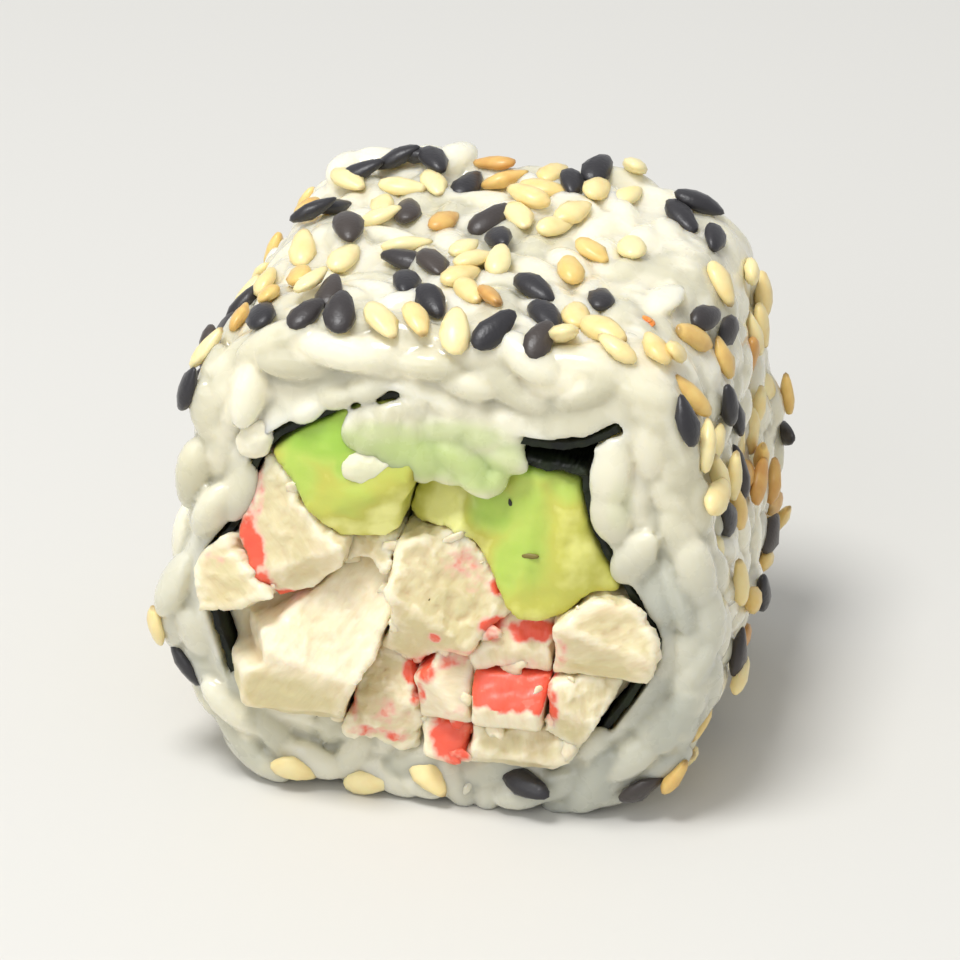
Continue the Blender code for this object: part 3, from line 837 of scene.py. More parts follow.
class URAMAKI_OT_rice(bpy.types.Operator):
    """Build the ring of pressed rice out of grains stuck to a smaller core"""

    bl_idname = "uramaki.rice"
    bl_label = "Rice"

    def execute(self, context):
        settings = context.scene.uramaki.rice
        rng = np.random.default_rng(7)
        seaweed = seaweed_tree()
        outline = outline_surface()
        core = copy_of_node("rice", "rice_core")
        away = core.vertex_groups.new(name="away from the seaweed")
        near = core.vertex_groups.new(name="against the seaweed")
        for vert in core.data.vertices:
            distance = seaweed.find_nearest(vert.co)[3]
            depth = (0.9 if abs(vert.normal.y) > 0.6 else 1.0) * (1 - 0.6 * pressed_smooth(vert.co))
            away.add([vert.index], depth * min(1.0, max(0.0, (distance - 0.6 * MM) / (1.6 * MM))), "REPLACE")
            near.add([vert.index], 1.0 if distance < 0.6 * MM else 0.0, "REPLACE")
        apply_modifier(core, "DISPLACE", strength=-settings.core_depth, mid_level=0, vertex_group=away.name)
        apply_modifier(core, "DISPLACE", strength=0.16 * MM, mid_level=0, vertex_group=near.name)

        half = settings.grain_width * 0.425
        grain = model_pip("grain", settings.grain_length, settings.grain_width, half * 2, 12, 8, 0.12)
        grains, middles, tones = [core], [], []

        def stick(matrix, tone=None):
            tone = float(rng.random()) if tone is None else tone
            grains.append(placed(grain, matrix, tone))
            for k in (-0.3, 0, 0.3):
                middles.append(matrix @ Vector((0, 0, k * settings.grain_length)))
                tones.append(tone)

        def room_at(point, normal):
            if seaweed.find_nearest(point)[3] < 0.95 * MM or point.z < 0.8 * MM:
                return 0
            return settings.spacing

        for point, normal in outline.strew(rng, 9000, room_at):
            on_cut = abs(normal.y) > 0.6
            flat, rough = pressed_smooth(point), max(left_rough(point), 0.45 if on_cut else 0.15)
            proud = (0.45 if on_cut else 0.4) * (1 - 0.8 * flat) + 0.8 * rough
            middle = point - normal * (half - rng.uniform(-0.25, 1.0) * proud * MM)
            slack = (0.2 + 1.3 * rough * rng.random()) * MM
            reach = settings.grain_length * 0.46
            heading, length = heading_inside(outline, seaweed, middle, normal, reach, slack, rng)
            size = (rng.uniform(0.86, 1.1), rng.uniform(0.88, 1.06), length * rng.uniform(0.88, 1.06))
            stick(lying(middle, normal, heading, rng.normal(0, 0.1 * (1 - 0.6 * flat)), rng.uniform(-0.3, 0.3), size))
        # grains drawn over the seaweed's edge, over the avocado and along the far edge
        kept = []
        for vert in frame["nodes"]["nori"].data.vertices:
            x, z = (vert.co.x - SECTION_X) / MM, vert.co.z / MM
            if vert.co.y < NORI_LOW.y + 0.5 * MM and spread_over_seaweed(x, z):
                if all((vert.co - other).length > 1.7 * MM for other in kept):
                    kept.append(vert.co.copy())
                    point = Vector((vert.co.x, CUT_FRONT + 0.75 * MM, vert.co.z))
                    heading = tangent(Vector((0, -1, 0)), rng.uniform(0, math.tau))
                    stick(lying(point, (0, -1, 0), heading, rng.normal(0, 0.1), 0, (0.85, 0.8, 0.62)))
        for x, z, reach, heading, long, wide in DRAWN_GRAINS:
            turn = math.radians(heading)
            matrix = lying(
                section(x, z, reach - 0.45), (0, -1, 0), (math.cos(turn), 0, math.sin(turn)), rng.normal(0, 0.08), 0,
                (wide, 0.65, long),
            )
            stick(matrix)
        for x, depth, heading, thick in PROUD_GRAINS:
            start = Vector((SECTION_X + x * MM, CUT_FRONT + depth * MM, RICE_HIGH.z + 5 * MM))
            rest = outline.drop(start, Vector((0, 0, -1)))
            turn = math.radians(heading)
            if rest:
                stick(lying(rest, (0, 0, 1), (math.cos(turn), math.sin(turn), 0), 0, 0, (1, thick, 0.8)), 0.9)
        bpy.data.objects.remove(grain)
        rice = join_all(grains, "rice_grains")
        fuse(rice, settings.fuse, 1)
        roughen(rice, 1.1 * MM, 0.07 * MM)
        place = positions(rice)
        place[:, 2] = np.maximum(place[:, 2], 0)
        set_positions(rice, place)
        if len(rice.data.polygons) * 2 > 195000:
            apply_modifier(rice, "DECIMATE", ratio=195000 / (len(rice.data.polygons) * 2))
        tree = KDTree(len(middles))
        for i, middle in enumerate(middles):
            tree.insert(middle, i)
        tree.balance()
        blended = []
        for vert in rice.data.vertices:
            (_, a, near_a), (_, b, near_b) = tree.find_n(vert.co, 2)
            share = 0.5 + 0.5 * min(1.0, (near_b - near_a) / (0.3 * MM))
            blended.append(tones[a] * share + tones[b] * (1 - share))
        store(rice, "tone", blended)
        store_rice(rice, RICE_STAINS)
        material = cooked_rice("cooked_sushi_rice", settings, 2.0 * MM)
        finish_piece(rice, "rice_grains", material, "rice", "rice")
        return {"FINISHED"}


class URAMAKI_OT_nori(bpy.types.Operator):
    """Build the damp seaweed sheet with its crinkled edge"""

    bl_idname = "uramaki.nori"
    bl_label = "Nori"

    def execute(self, context):
        settings = context.scene.uramaki.nori
        sheet = copy_of_node("nori", "nori_sheet")
        apply_modifier(sheet, "SUBSURF", subdivision_type="SIMPLE", levels=2, render_levels=2)
        apply_modifier(sheet, "DISPLACE", strength=-0.06 * MM, mid_level=0)
        roughen(sheet, 1.4 * MM, settings.crinkle)
        roughen(sheet, 0.8 * MM, 0.6 * MM, direction="Y")
        roughen(sheet, 0.9 * MM, 0.3 * MM, direction="Z")
        finish_piece(sheet, "nori_sheet", pressed_seaweed(settings.body, settings.thin), "nori", "nori")
        return {"FINISHED"}


# Colours on the two strips, in the section's millimetres: towards the skin, smeared pale, and painted shade in the
# crease where the two slices meet. The pale spot on the right strip is painted light on a lobe that the rice above
# shades.
AVOCADO_GREEN = {
    "avocado_left": (
        (-7.4, 25.0, 3.0, 1.5, 1.0), (-4.0, 26.0, 4.2, 1.5, 0.9), (-8.6, 22.8, 1.2, 1.8, 0.55),
        (-5.8, 23.7, 0.7, 1.0, 0.8), (-5.2, 21.6, 1.6, 1.2, 0.25),
    ),
    "avocado_right": (
        (3.3, 21.0, 1.6, 1.4, 0.8), (1.4, 22.8, 1.8, 0.7, 0.5), (5.4, 24.6, 3.4, 1.3, 0.85),
        (5.4, 20.5, 1.3, 4.0, 0.5), (4.4, 17.8, 1.0, 1.8, 0.6), (8.0, 23.4, 1.4, 1.2, 0.5),
    ),
}  # fmt: skip
AVOCADO_PALE_AND_LIT = {
    "avocado_left": ((-3.2, 20.6, 1.8, 0.8, 0.6), (-5.6, 19.5, 1.4, 0.8, 0.9), (-3.0, 19.3, 1.4, 0.7, 0.9)),
    # painted light: this spot brightens the lobe that the rice above shades
    "avocado_right": ((0.2, 20.6, 1.5, 1.8, 1.0),),
}
# painted shade in the crease where the two slices meet
AVOCADO_CREASE = ((-1.0, 23.5, 0.5, 0.7, 0.9), (2.6, 19.0, 0.5, 0.5, 0.4))
# Where the flesh swells out of the cut
AVOCADO_SWELL = ((0.3, 20.2, 1.4, 1.6, 1.0), (8.6, 19.6, 1.4, 3.6, 0.4))


class URAMAKI_OT_avocado(bpy.types.Operator):
    """Build the two strips of avocado"""

    bl_idname = "uramaki.avocado"
    bl_label = "Avocado"

    def execute(self, context):
        settings = context.scene.uramaki.avocado
        material = ripe_avocado(settings)
        for name, spots in AVOCADO_GREEN.items():
            flesh = copy_of_node(name, name + "_flesh")
            fuse(flesh, settings.fuse, 2)
            apply_modifier(flesh, "DISPLACE", strength=0.12 * MM, mid_level=0)
            roughen(flesh, 3.0 * MM, 0.35 * MM)
            roughen(flesh, 1.0 * MM, 0.16 * MM, 3)
            place = positions(flesh)
            swell = patches(flesh, AVOCADO_SWELL) * eased((CUT_FRONT + 2 * MM - place[:, 1]) / (2 * MM))
            place[:, 1] -= 1.4 * MM * swell
            set_positions(flesh, place)
            store_relief(flesh, 16, 0.3 * MM)
            # pale smears, and on the right strip a painted light on the shaded lobe
            pale = patches(flesh, AVOCADO_PALE_AND_LIT[name])
            store(flesh, "green", 0.22 * (1 - pale) + 0.78 * patches(flesh, spots))
            store(flesh, "crease", patches(flesh, AVOCADO_CREASE))
            finish_piece(flesh, name + "_flesh", material, "avocado", name)
        return {"FINISHED"}


SURIMI_DYE = {
    "surimi_upper_left": ((-12.0, 18.6, 0.8, 1.2, 0.8), (-11.6, 17.0, 0.9, 1.3, 1.0), (-10.8, 15.4, 0.7, 0.9, 0.8),
                          (-9.6, 14.1, 1.6, 0.6, 1.0), (-11.4, 21.0, 0.5, 1.8, 0.45)),
    "surimi_far_left": ((-14.0, 16.4, 0.8, 0.5, 0.3),),
    "surimi_centre": ((3.9, 16.4, 0.6, 0.8, 0.7), (1.6, 17.6, 1.4, 1.0, 0.3), (3.6, 13.9, 0.8, 0.6, 0.85), (0.0, 12.9, 0.45, 0.4, 0.75),
                      (-1.0, 10.2, 0.9, 0.8, 0.6), (1.9, 11.9, 1.2, 0.5, 0.55), (2.6, 16.8, 1.4, 1.4, 0.28)),
    "surimi_red_slice": ((6.0, 13.3, 1.5, 0.6, 1.0), (3.6, 13.4, 0.6, 0.7, 0.75), (5.0, 11.2, 1.6, 0.7, 0.25)),
    "surimi_white_cube": ((-0.6, 10.4, 0.8, 0.8, 0.8), (-0.9, 8.6, 0.4, 1.0, 0.6), (1.0, 11.0, 1.2, 0.5, 0.5),
                          (1.6, 7.6, 1.0, 1.0, 0.22)),
    "surimi_crumb": ((-1.6, 9.4, 0.8, 0.7, 0.9), (-1.2, 8.2, 0.5, 0.9, 0.7), (-4.4, 5.3, 1.2, 0.4, 0.6),
                     (-2.6, 5.0, 0.8, 0.4, 0.6), (-5.4, 6.6, 0.4, 1.0, 0.5), (-3.0, 6.6, 1.4, 1.0, 0.3)),
    "surimi_red_chip": ((1.2, 5.6, 1.5, 1.8, 1.0),),
    "surimi_right_lower": ((7.4, 9.0, 0.55, 1.6, 0.75),),
    "surimi_right_upper": ((7.8, 12.5, 0.6, 1.4, 0.35),),
}  # fmt: skip
# Chunks whose end is drawn out over the seaweed or cut back at the front: to which side (1 is right), how
# far, how deep, from which height up, and how far its lower edge rises, in millimetres
OVERHANG = {
    "surimi_far_left": (-1, 0.9, 0.4, 0, 1.3), "surimi_right_upper": (1, 0.9, 0.4, 0, 0),
    "surimi_right_lower": (1, -0.6, 1.5, 0, 0), "surimi_block": (-1, -1.5, 2.0, 9.4, 0),
}  # fmt: skip
# How crumbly a chunk's faces are, and how warm its cream is
SURIMI_LOOK = {
    "surimi_block": (0.5, 0.15), "surimi_red_cube": (0.4, 0.5), "surimi_white_cube": (0.5, 0.3),
    "surimi_crumb": (1.6, 0.6), "surimi_middle": (1.2, 0.9), "surimi_red_chip": (0.8, 0.6),
    "surimi_red_slice": (0.8, 0.5),
}  # fmt: skip

# Where the cream is darker and warmer; on the block this is painted shade on its lower front facet, which faces away
# from the light
SURIMI_WARM_AND_SHADE = {
    "surimi_block": ((-8.7, 7.6, 5.4, 2.3, 0.9),), "surimi_centre": ((1.0, 14.0, 3.0, 2.0, 0.3),),
    "surimi_right_upper": ((10.5, 11.6, 2.6, 0.8, 0.4),),
}  # fmt: skip


def fill_crab(chunk, tone, dye, lay):
    """Stores what the crab stick's material reads."""
    count = len(chunk.data.vertices)
    store(chunk, "tone", tone)
    store(chunk, "lay", np.full(count, lay))
    store(chunk, "dye", dye)
    store_relief(chunk, 12, 0.22 * MM)


class URAMAKI_OT_surimi(bpy.types.Operator):
    """Build the chopped crab sticks, with their strands and the red of their skin"""

    bl_idname = "uramaki.surimi"
    bl_label = "Crab stick"

    def execute(self, context):
        settings = context.scene.uramaki.surimi
        rng = np.random.default_rng(5)
        material = crab_stick("chopped_crab_stick", settings, 1.3 * MM)
        for name in SURIMI:
            chunk = copy_of_node(name, name + "_chunk")
            rough, tone = SURIMI_LOOK.get(name, (1.0, 0.8))
            fuse(chunk, settings.fuse, 1)
            apply_modifier(chunk, "DISPLACE", strength=0.15 * MM, mid_level=0)
            for direction in "XZ":
                roughen(chunk, 1.2 * MM, settings.crumble * rough, 3, direction=direction)
            roughen(chunk, 1.6 * MM, settings.crumble * rough, 4)
            roughen(chunk, 0.6 * MM, settings.crumble * 0.45 * rough, 3)
            if name in OVERHANG:
                place = positions(chunk)
                side, shift, deep, floor, rise = OVERHANG[name]
                ends = place[:, 0].min(), place[:, 0].max()
                share = (place[:, 0] - ends[0]) / (ends[1] - ends[0])
                share = share if side > 0 else 1 - share
                out = eased((CUT_FRONT + deep * MM - place[:, 1]) / (0.9 * MM)) * eased(place[:, 2] / MM - floor)
                place[:, 0] += side * shift * MM * out * eased((share - 0.2) / 0.7)
                low, high = place[:, 2].min(), place[:, 2].max()
                place[:, 2] += rise * MM * out * (high - place[:, 2]) / (high - low)
                set_positions(chunk, place)
            dye = patches(chunk, SURIMI_DYE.get(name, ()))
            if name == "surimi_red_cube":
                normals = np.empty(len(chunk.data.vertices) * 3, np.float32)
                chunk.data.vertex_normals.foreach_get("vector", normals)
                place = positions(chunk)
                ragged = np.array([noise.noise(Vector(p) / (0.9 * MM)) for p in place])
                dye = eased((normals.reshape(-1, 3)[:, 2] + 0.25) / 0.5) * eased((place[:, 2] / MM - 8.3 + 0.5 * ragged) / 0.6)
            # the added warmth is painted shade on the block's front facet
            fill_crab(chunk, tone + patches(chunk, SURIMI_WARM_AND_SHADE.get(name, ())), dye, rng.uniform(0, math.pi))
            slot = "surimi_skin" if name in ("surimi_red_cube", "surimi_red_chip") else "surimi"
            finish_piece(chunk, name + "_chunk", material, slot, name)
        return {"FINISHED"}


class URAMAKI_OT_crumbs(bpy.types.Operator):
    """Drop the crumbs that the knife tore off along the seams between the chunks"""

    bl_idname = "uramaki.crumbs"
    bl_label = "Crumbs"

    def execute(self, context):
        settings = context.scene.uramaki.surimi
        rng = np.random.default_rng(19)
        chunks = [obj for obj in bpy.data.objects if obj.name.endswith(("_chunk", "_flesh"))]
        if not chunks:
            raise RuntimeError("Build the crab stick before the crumbs, because they lie on it")
        faces = [Surface(obj) for obj in chunks]
        models = []
        for k in range(5):
            bpy.ops.object.select_all(action="DESELECT")
            bpy.ops.mesh.primitive_ico_sphere_add(subdivisions=2, radius=settings.crumb / 2, location=(k * 7 * MM, 0, 0))
            bpy.ops.object.transform_apply(location=True)
            crumb = context.active_object
            roughen(crumb, 0.8 * MM, 1.1 * MM)
            crumb.data.transform(Matrix.Translation((-k * 7 * MM, 0, 0)))
            models.append(crumb)

        def facing(x, z, side):
            """The first surface that a ray along the roll meets, and where."""
            start = Vector((x, side * 40 * MM, z))
            hits = [(face.drop(start, Vector((0, -side, 0))), i) for i, face in enumerate(faces)]
            hits = [(abs(hit.y - start.y), i, hit) for hit, i in hits if hit]
            return min(hits)[1:] if hits else None

        low, high = NORI_LOW + Vector((2, 0, 2)) * MM, NORI_HIGH - Vector((2, 0, 2)) * MM
        step = 0.55 * MM
        crumbs = []
        for side in (-1, 1):
            kept = []
            for _ in range(1500):
                x, z = rng.uniform(low.x, high.x), rng.uniform(low.z, high.z)
                here = facing(x, z, side)
                around = [facing(x + dx, z + dz, side) for dx, dz in ((step, 0), (-step, 0), (0, step), (0, -step))]
                if here is None or None in around or all(i == here[0] for i, _ in around):
                    continue
                rest = here[1]
                if max(abs(hit.y - rest.y) for _, hit in around) > 0.9 * MM:
                    continue
                if any((rest - other).length < 2.0 * MM for other in kept):
                    continue
                if chunks[here[0]].name.endswith("_flesh"):
                    continue
                kept.append(rest)
                size = rng.uniform(0.35, 1.1)
                spread = (size, size * 0.4, size * rng.uniform(0.9, 1.9))
                heading = (rng.uniform(-1, 1), 0, rng.uniform(-1, 1))
                sunk = rest - Vector((0, side * 0.1 * MM, 0))
                matrix = lying(sunk, (0, side, 0), heading, rng.normal(0, 0.35), rng.normal(0, 0.35), spread)
                crumbs.append(placed(models[rng.integers(len(models))], matrix, rng.uniform(0.3, 1.0)))
        for crumb in models:
            bpy.data.objects.remove(crumb)
        joined = join_all(crumbs, "surimi_crumbs")
        tones = np.empty(len(joined.data.vertices), np.float32)
        joined.data.attributes["tone"].data.foreach_get("value", tones)
        spots = [spot for group in SURIMI_DYE.values() for spot in group]
        dye = patches(joined, spots) * 0.8
        fill_crab(joined, tones, dye, 0.4)
        finish_piece(joined, "surimi_crumbs", crab_stick("torn_crab_stick", settings, 0.25 * MM), "surimi")
        return {"FINISHED"}


# Whole grains with a place of their own on the cut: x, z, reach, heading, length and width
PLACED_GRAINS = (
    (-4.0, 23.5, 0.3, 6, 0.7, 1.05), (-3.0, 24.1, 0.25, 60, 0.36, 0.6), (-11.5, 24.4, -0.4, 60, 0.52, 0.9),
    (1.8, 1.4, -0.2, 60, 0.45, 0.3),
)  # fmt: skip


class URAMAKI_OT_single_grains(bpy.types.Operator):
    """Lay the few whole grains that have come loose"""

    bl_idname = "uramaki.single_grains"
    bl_label = "Single grains"

    def execute(self, context):
        settings = context.scene.uramaki.rice
        rice = bpy.data.objects.get("rice_grains")
        if rice is None:
            raise RuntimeError("Build the pressed rice before the single grains, because they lie on it")
        grain = model_pip("grain", settings.grain_length, settings.grain_width, settings.grain_width * 0.7, 12, 8, 0.05)
        loose = []
        for x, z, reach, heading, long, wide in PLACED_GRAINS:
            turn = math.radians(heading)
            matrix = lying(section(x, z, reach), (0, -1, 0), (math.cos(turn), 0, math.sin(turn)), 0.1, 0, (wide, 0.8, long))
            loose.append(placed(grain, matrix, 0.9))
        bpy.data.objects.remove(grain)
        single = join_all(loose, "rice_single_grains")
        fuse(single, 0.16 * MM, 2)
        roughen(single, 1.6 * MM, 0.35 * MM)
        roughen(single, 0.7 * MM, 0.2 * MM)
        store(single, "tone", np.full(len(single.data.vertices), 0.95))
        store_rice(single, ((-3.9, 23.5, 1.8, 1.0, 0.25),))
        finish_piece(single, "rice_single_grains", cooked_rice("single_rice_grain", settings, 0.2 * MM), "rice")
        return {"FINISHED"}


# Seeds that stand out. White (w), toasted (t), well toasted (T) or black (b), with the heading of the tip.
# On top: x, depth from the cut, and heading seen from above.
TOP_SEEDS = """
b -11.0 0.6 100, b -8.3 1.0 60, b -7.6 4.2 88, b -6.3 1.6 95, b -4.1 9.6 170, b -2.4 9.6 -60, b -3.4 6.4 -80,
b -1.4 4.2 -55, b 3.2 1.3 60, b 5.8 3.6 -55, b 6.1 0.6 80, b 4.4 7.3 -40, b 8.6 7.0 95, b -0.3 16.5 60,
b 0.8 13.9 -65, b -5.7 16.9 100, b -8.7 13.5 -75, b -10.4 16.5 60, b -11.1 15.1 20, b -7.4 25.3 150,
b -7.8 23.7 10, b -5.7 24.5 -60, b -10.0 22.0 15, b -2.8 21.5 80, b 1.5 26.1 -75, b 3.6 23.3 -75,
b 4.9 25.5 80, b 12.1 22.1 10, b 11.4 19.9 -50, b 13.8 17.3 -80, b 17.0 5.0 -85,
w -10.8 10.1 95, w -7.9 9.1 80, t -10.0 6.3 100, w -8.8 4.9 60, t -11.2 3.3 100, w -11.9 5.2 90, t -12.4 0.4 80,
w -7.5 17.7 95, w -7.2 15.7 30, w -10.1 20.1 -40, w -6.8 20.3 0, w -5.0 21.5 -60, t -12.2 16.8 90, T -3.1 15.9 70,
w -4.6 12.1 20, w -1.0 12.1 70, w -0.1 10.5 50, w -0.4 8.1 60, w 1.6 9.9 95, T 2.0 5.7 -60, w 0.6 5.9 -50,
w -3.6 1.1 -55, w -1.7 1.7 -60, w 1.0 0.6 95, w 7.6 4.3 95, w 7.5 0.7 90, w 9.6 2.3 -30, w 10.8 0.4 160,
w 13.0 0.9 120, w 14.1 0.3 60, T -1.8 25.1 170, t -0.6 22.9 30, w 2.1 21.9 0, w 1.4 20.4 160, w 2.2 24.5 70,
w 5.4 22.7 80, w 4.6 18.9 60, w 3.9 16.3 50, w 7.2 26.2 90, w 7.5 22.1 70, w 1.4 17.5 -60, t 6.9 13.2 -35,
w 9.2 14.3 100, t 6.0 10.5 110, t 9.7 25.0 -20, w 17.0 14.1 100, w 15.4 11.3 -20
"""
# On the right side: depth, height, and heading as seen from the right, where 90 is up.
RIGHT_SEEDS = """
b 1.1 28.0 80, w 2.4 25.8 60, t 3.6 28.4 100, w 4.4 22.6 95, w 7.2 21.4 85, b 8.6 25.4 100, w 6.4 24.0 20,
b 6.8 18.6 130, w 4.6 17.6 150, w 5.6 14.8 80, w 4.6 12.2 95, b 6.2 9.6 60, w 6.0 8.2 30, t 8.8 18.2 90,
b 11.0 19.6 70, b 12.2 23.0 100, t 11.4 27.2 80, w 2.0 22.6 10
"""
# On the left side: depth, height, and heading as seen from the left, where 90 is up.
LEFT_SEEDS = "w 1.2 10.0 85, b 1.8 7.2 110, w 2.6 25.4 60, b 1.0 27.0 80, t 4.4 22.8 30"
# Low on the front cut: x, height, and heading as seen from the front.
FRONT_SEEDS = "w -9.3 1.6 -20, w -0.6 1.9 -50, w 0.6 0.7 -70, w -4.6 0.8 10, w 8.2 0.9 70, w 14.2 1.8 60, b 5.7 2.3 -25, " \
    "b 12.6 2.6 20, t 14.6 3.4 70"


class SeedLayer:
    """Seeds laid on the rice one by one: one that lands on others rests on top of them."""

    def __init__(self, models, ground, outline, rng):
        self.models, self.ground, self.outline, self.rng = models, ground, outline, rng
        self.seeds = {"white": [], "black": []}
        self.seated = []

    def lay(self, start, direction, heading, kind):
        """Lets one seed fall from start and turns its tip towards heading."""
        rng = self.rng
        rest = self.ground.drop(start, direction)
        if rest is None:
            return
        normal = self.outline.tree.find_nearest(rest)[1]
        under = sum((rest - other).length < 1.75 * MM for other in self.seated)
        self.seated.append(rest)
        tone = {"w": rng.random() * 0.4, "t": rng.uniform(0.5, 0.75), "T": rng.uniform(0.85, 1), "b": rng.random()}[kind]
        size = rng.uniform(0.86, 1.06) * (1.05 if kind == "b" else 1.0)
        lift = rng.uniform(0.18, 0.4) + 0.5 * min(under, 2)
        matrix = lying(
            rest + normal * lift * MM, normal, heading, rng.normal(0, 0.1 + 0.12 * min(under, 1)), rng.normal(0, 0.2),
            (size, size, size),
        )
        seed = placed(self.models[rng.integers(len(self.models))], matrix, float(tone))
        sunk = 0.02 * MM - positions(seed)[:, 2].min()
        if sunk > 0.7 * MM:
            bpy.data.objects.remove(seed)
            return
        if sunk > 0:
            seed.data.transform(Matrix.Translation((0, 0, sunk)))
        self.seeds["black" if kind == "b" else "white"].append(seed)


def seed_list(words):
    """The kind and the three numbers of each seed in a list."""
    for entry in words.replace("\n", " ").split(","):
        kind, *numbers = entry.split()
        yield (kind, *(float(number) for number in numbers))


def sesame_spacing(point, normal, closest):
    """How far apart strewn seeds lie here, or 0 where there are none."""
    x, z = (point.x - SECTION_X) / MM, point.z / MM
    depth = (point.y - CUT_FRONT) / MM
    outwards = normal.x * (point.x - SECTION_X) + normal.z * (point.z - RICE_HIGH.z / 2) > 0
    if not outwards or abs(normal.y) > 0.6 or z < 1.6 or normal.z > 0.62:
        return 0
    if normal.x > 0 and depth < 9 and z > 7:
        return 0
    if normal.x < 0 and depth < 7 and z < 26:
        return 0
    gathered = 0.8 + 1.5 * float(eased(0.5 + 1.3 * noise.noise(point / (6 * MM) + Vector((3, 1, 7)))))
    if normal.z < -0.2:
        return closest * gathered * 1.5
    return closest * gathered * (1.0 if x > 0 else 1.1)


class URAMAKI_OT_sesame(bpy.types.Operator):
    """Strew white and black sesame over the rolled side"""

    bl_idname = "uramaki.sesame"
    bl_label = "Sesame"

    def execute(self, context):
        settings = context.scene.uramaki.sesame
        rng = np.random.default_rng(31)
        rice, single = (bpy.data.objects.get(name) for name in ("rice_grains", "rice_single_grains"))
        if rice is None or single is None:
            raise RuntimeError("Build the rice and its single grains before the sesame, because the seeds lie on them")
        outline = outline_surface()
        seeds = [model_pip("seed", settings.length, settings.width, settings.thickness, 10, 7, 0.32) for _ in range(4)]
        for k, seed in enumerate(seeds):
            shift = Matrix.Translation((k * 9 * MM, 0, 0))
            seed.data.transform(shift)
            roughen(seed, 1.3 * MM, 0.4 * MM)
            seed.data.transform(shift.inverted())
        layer = SeedLayer(seeds, Surface(rice, single), outline, rng)
        away = 12 * MM
        for kind, x, depth, heading in seed_list(TOP_SEEDS):
            turn = math.radians(heading)
            start = Vector((SECTION_X + x * MM, CUT_FRONT + depth * MM, TOP_FLAT)) - SIGHT * away
            layer.lay(start, SIGHT, (math.cos(turn), math.sin(turn), 0), kind)
        for kind, depth, z, heading in seed_list(RIGHT_SEEDS):
            turn = math.radians(heading)
            start = Vector((RICE_HIGH.x + away, CUT_FRONT + depth * MM, z * MM))
            layer.lay(start, Vector((-1, 0, 0)), (0, math.cos(turn), math.sin(turn)), kind)
        for kind, depth, z, heading in seed_list(LEFT_SEEDS):
            turn = math.radians(heading)
            start = Vector((RICE_LOW.x - away, CUT_FRONT + depth * MM, z * MM))
            layer.lay(start, Vector((1, 0, 0)), (0, -math.cos(turn), math.sin(turn)), kind)
        for kind, x, z, heading in seed_list(FRONT_SEEDS):
            turn = math.radians(heading)
            layer.lay(section(x, z, 12), Vector((0, 1, 0)), (math.cos(turn), 0, math.sin(turn)), kind)
        strewn = outline.strew(rng, 9000, lambda p, n: sesame_spacing(p, n, settings.spacing), layer.seated)
        for point, normal in strewn:
            dark = settings.black_share + 0.6 * noise.noise(point / (4.5 * MM))
            kind = "b" if rng.random() < dark else rng.choice(["w", "w", "w", "t", "T"])
            layer.lay(point + normal * 3 * MM, -normal, tangent(normal, rng.uniform(0, math.tau)), kind)
        for seed in seeds:
            bpy.data.objects.remove(seed)
        materials = {"white": hulled_sesame(settings), "black": black_sesame(settings)}
        for kind, seeds in layer.seeds.items():
            finish_piece(join_all(seeds, "sesame_" + kind), "sesame_" + kind, materials[kind], "rice")
        return {"FINISHED"}


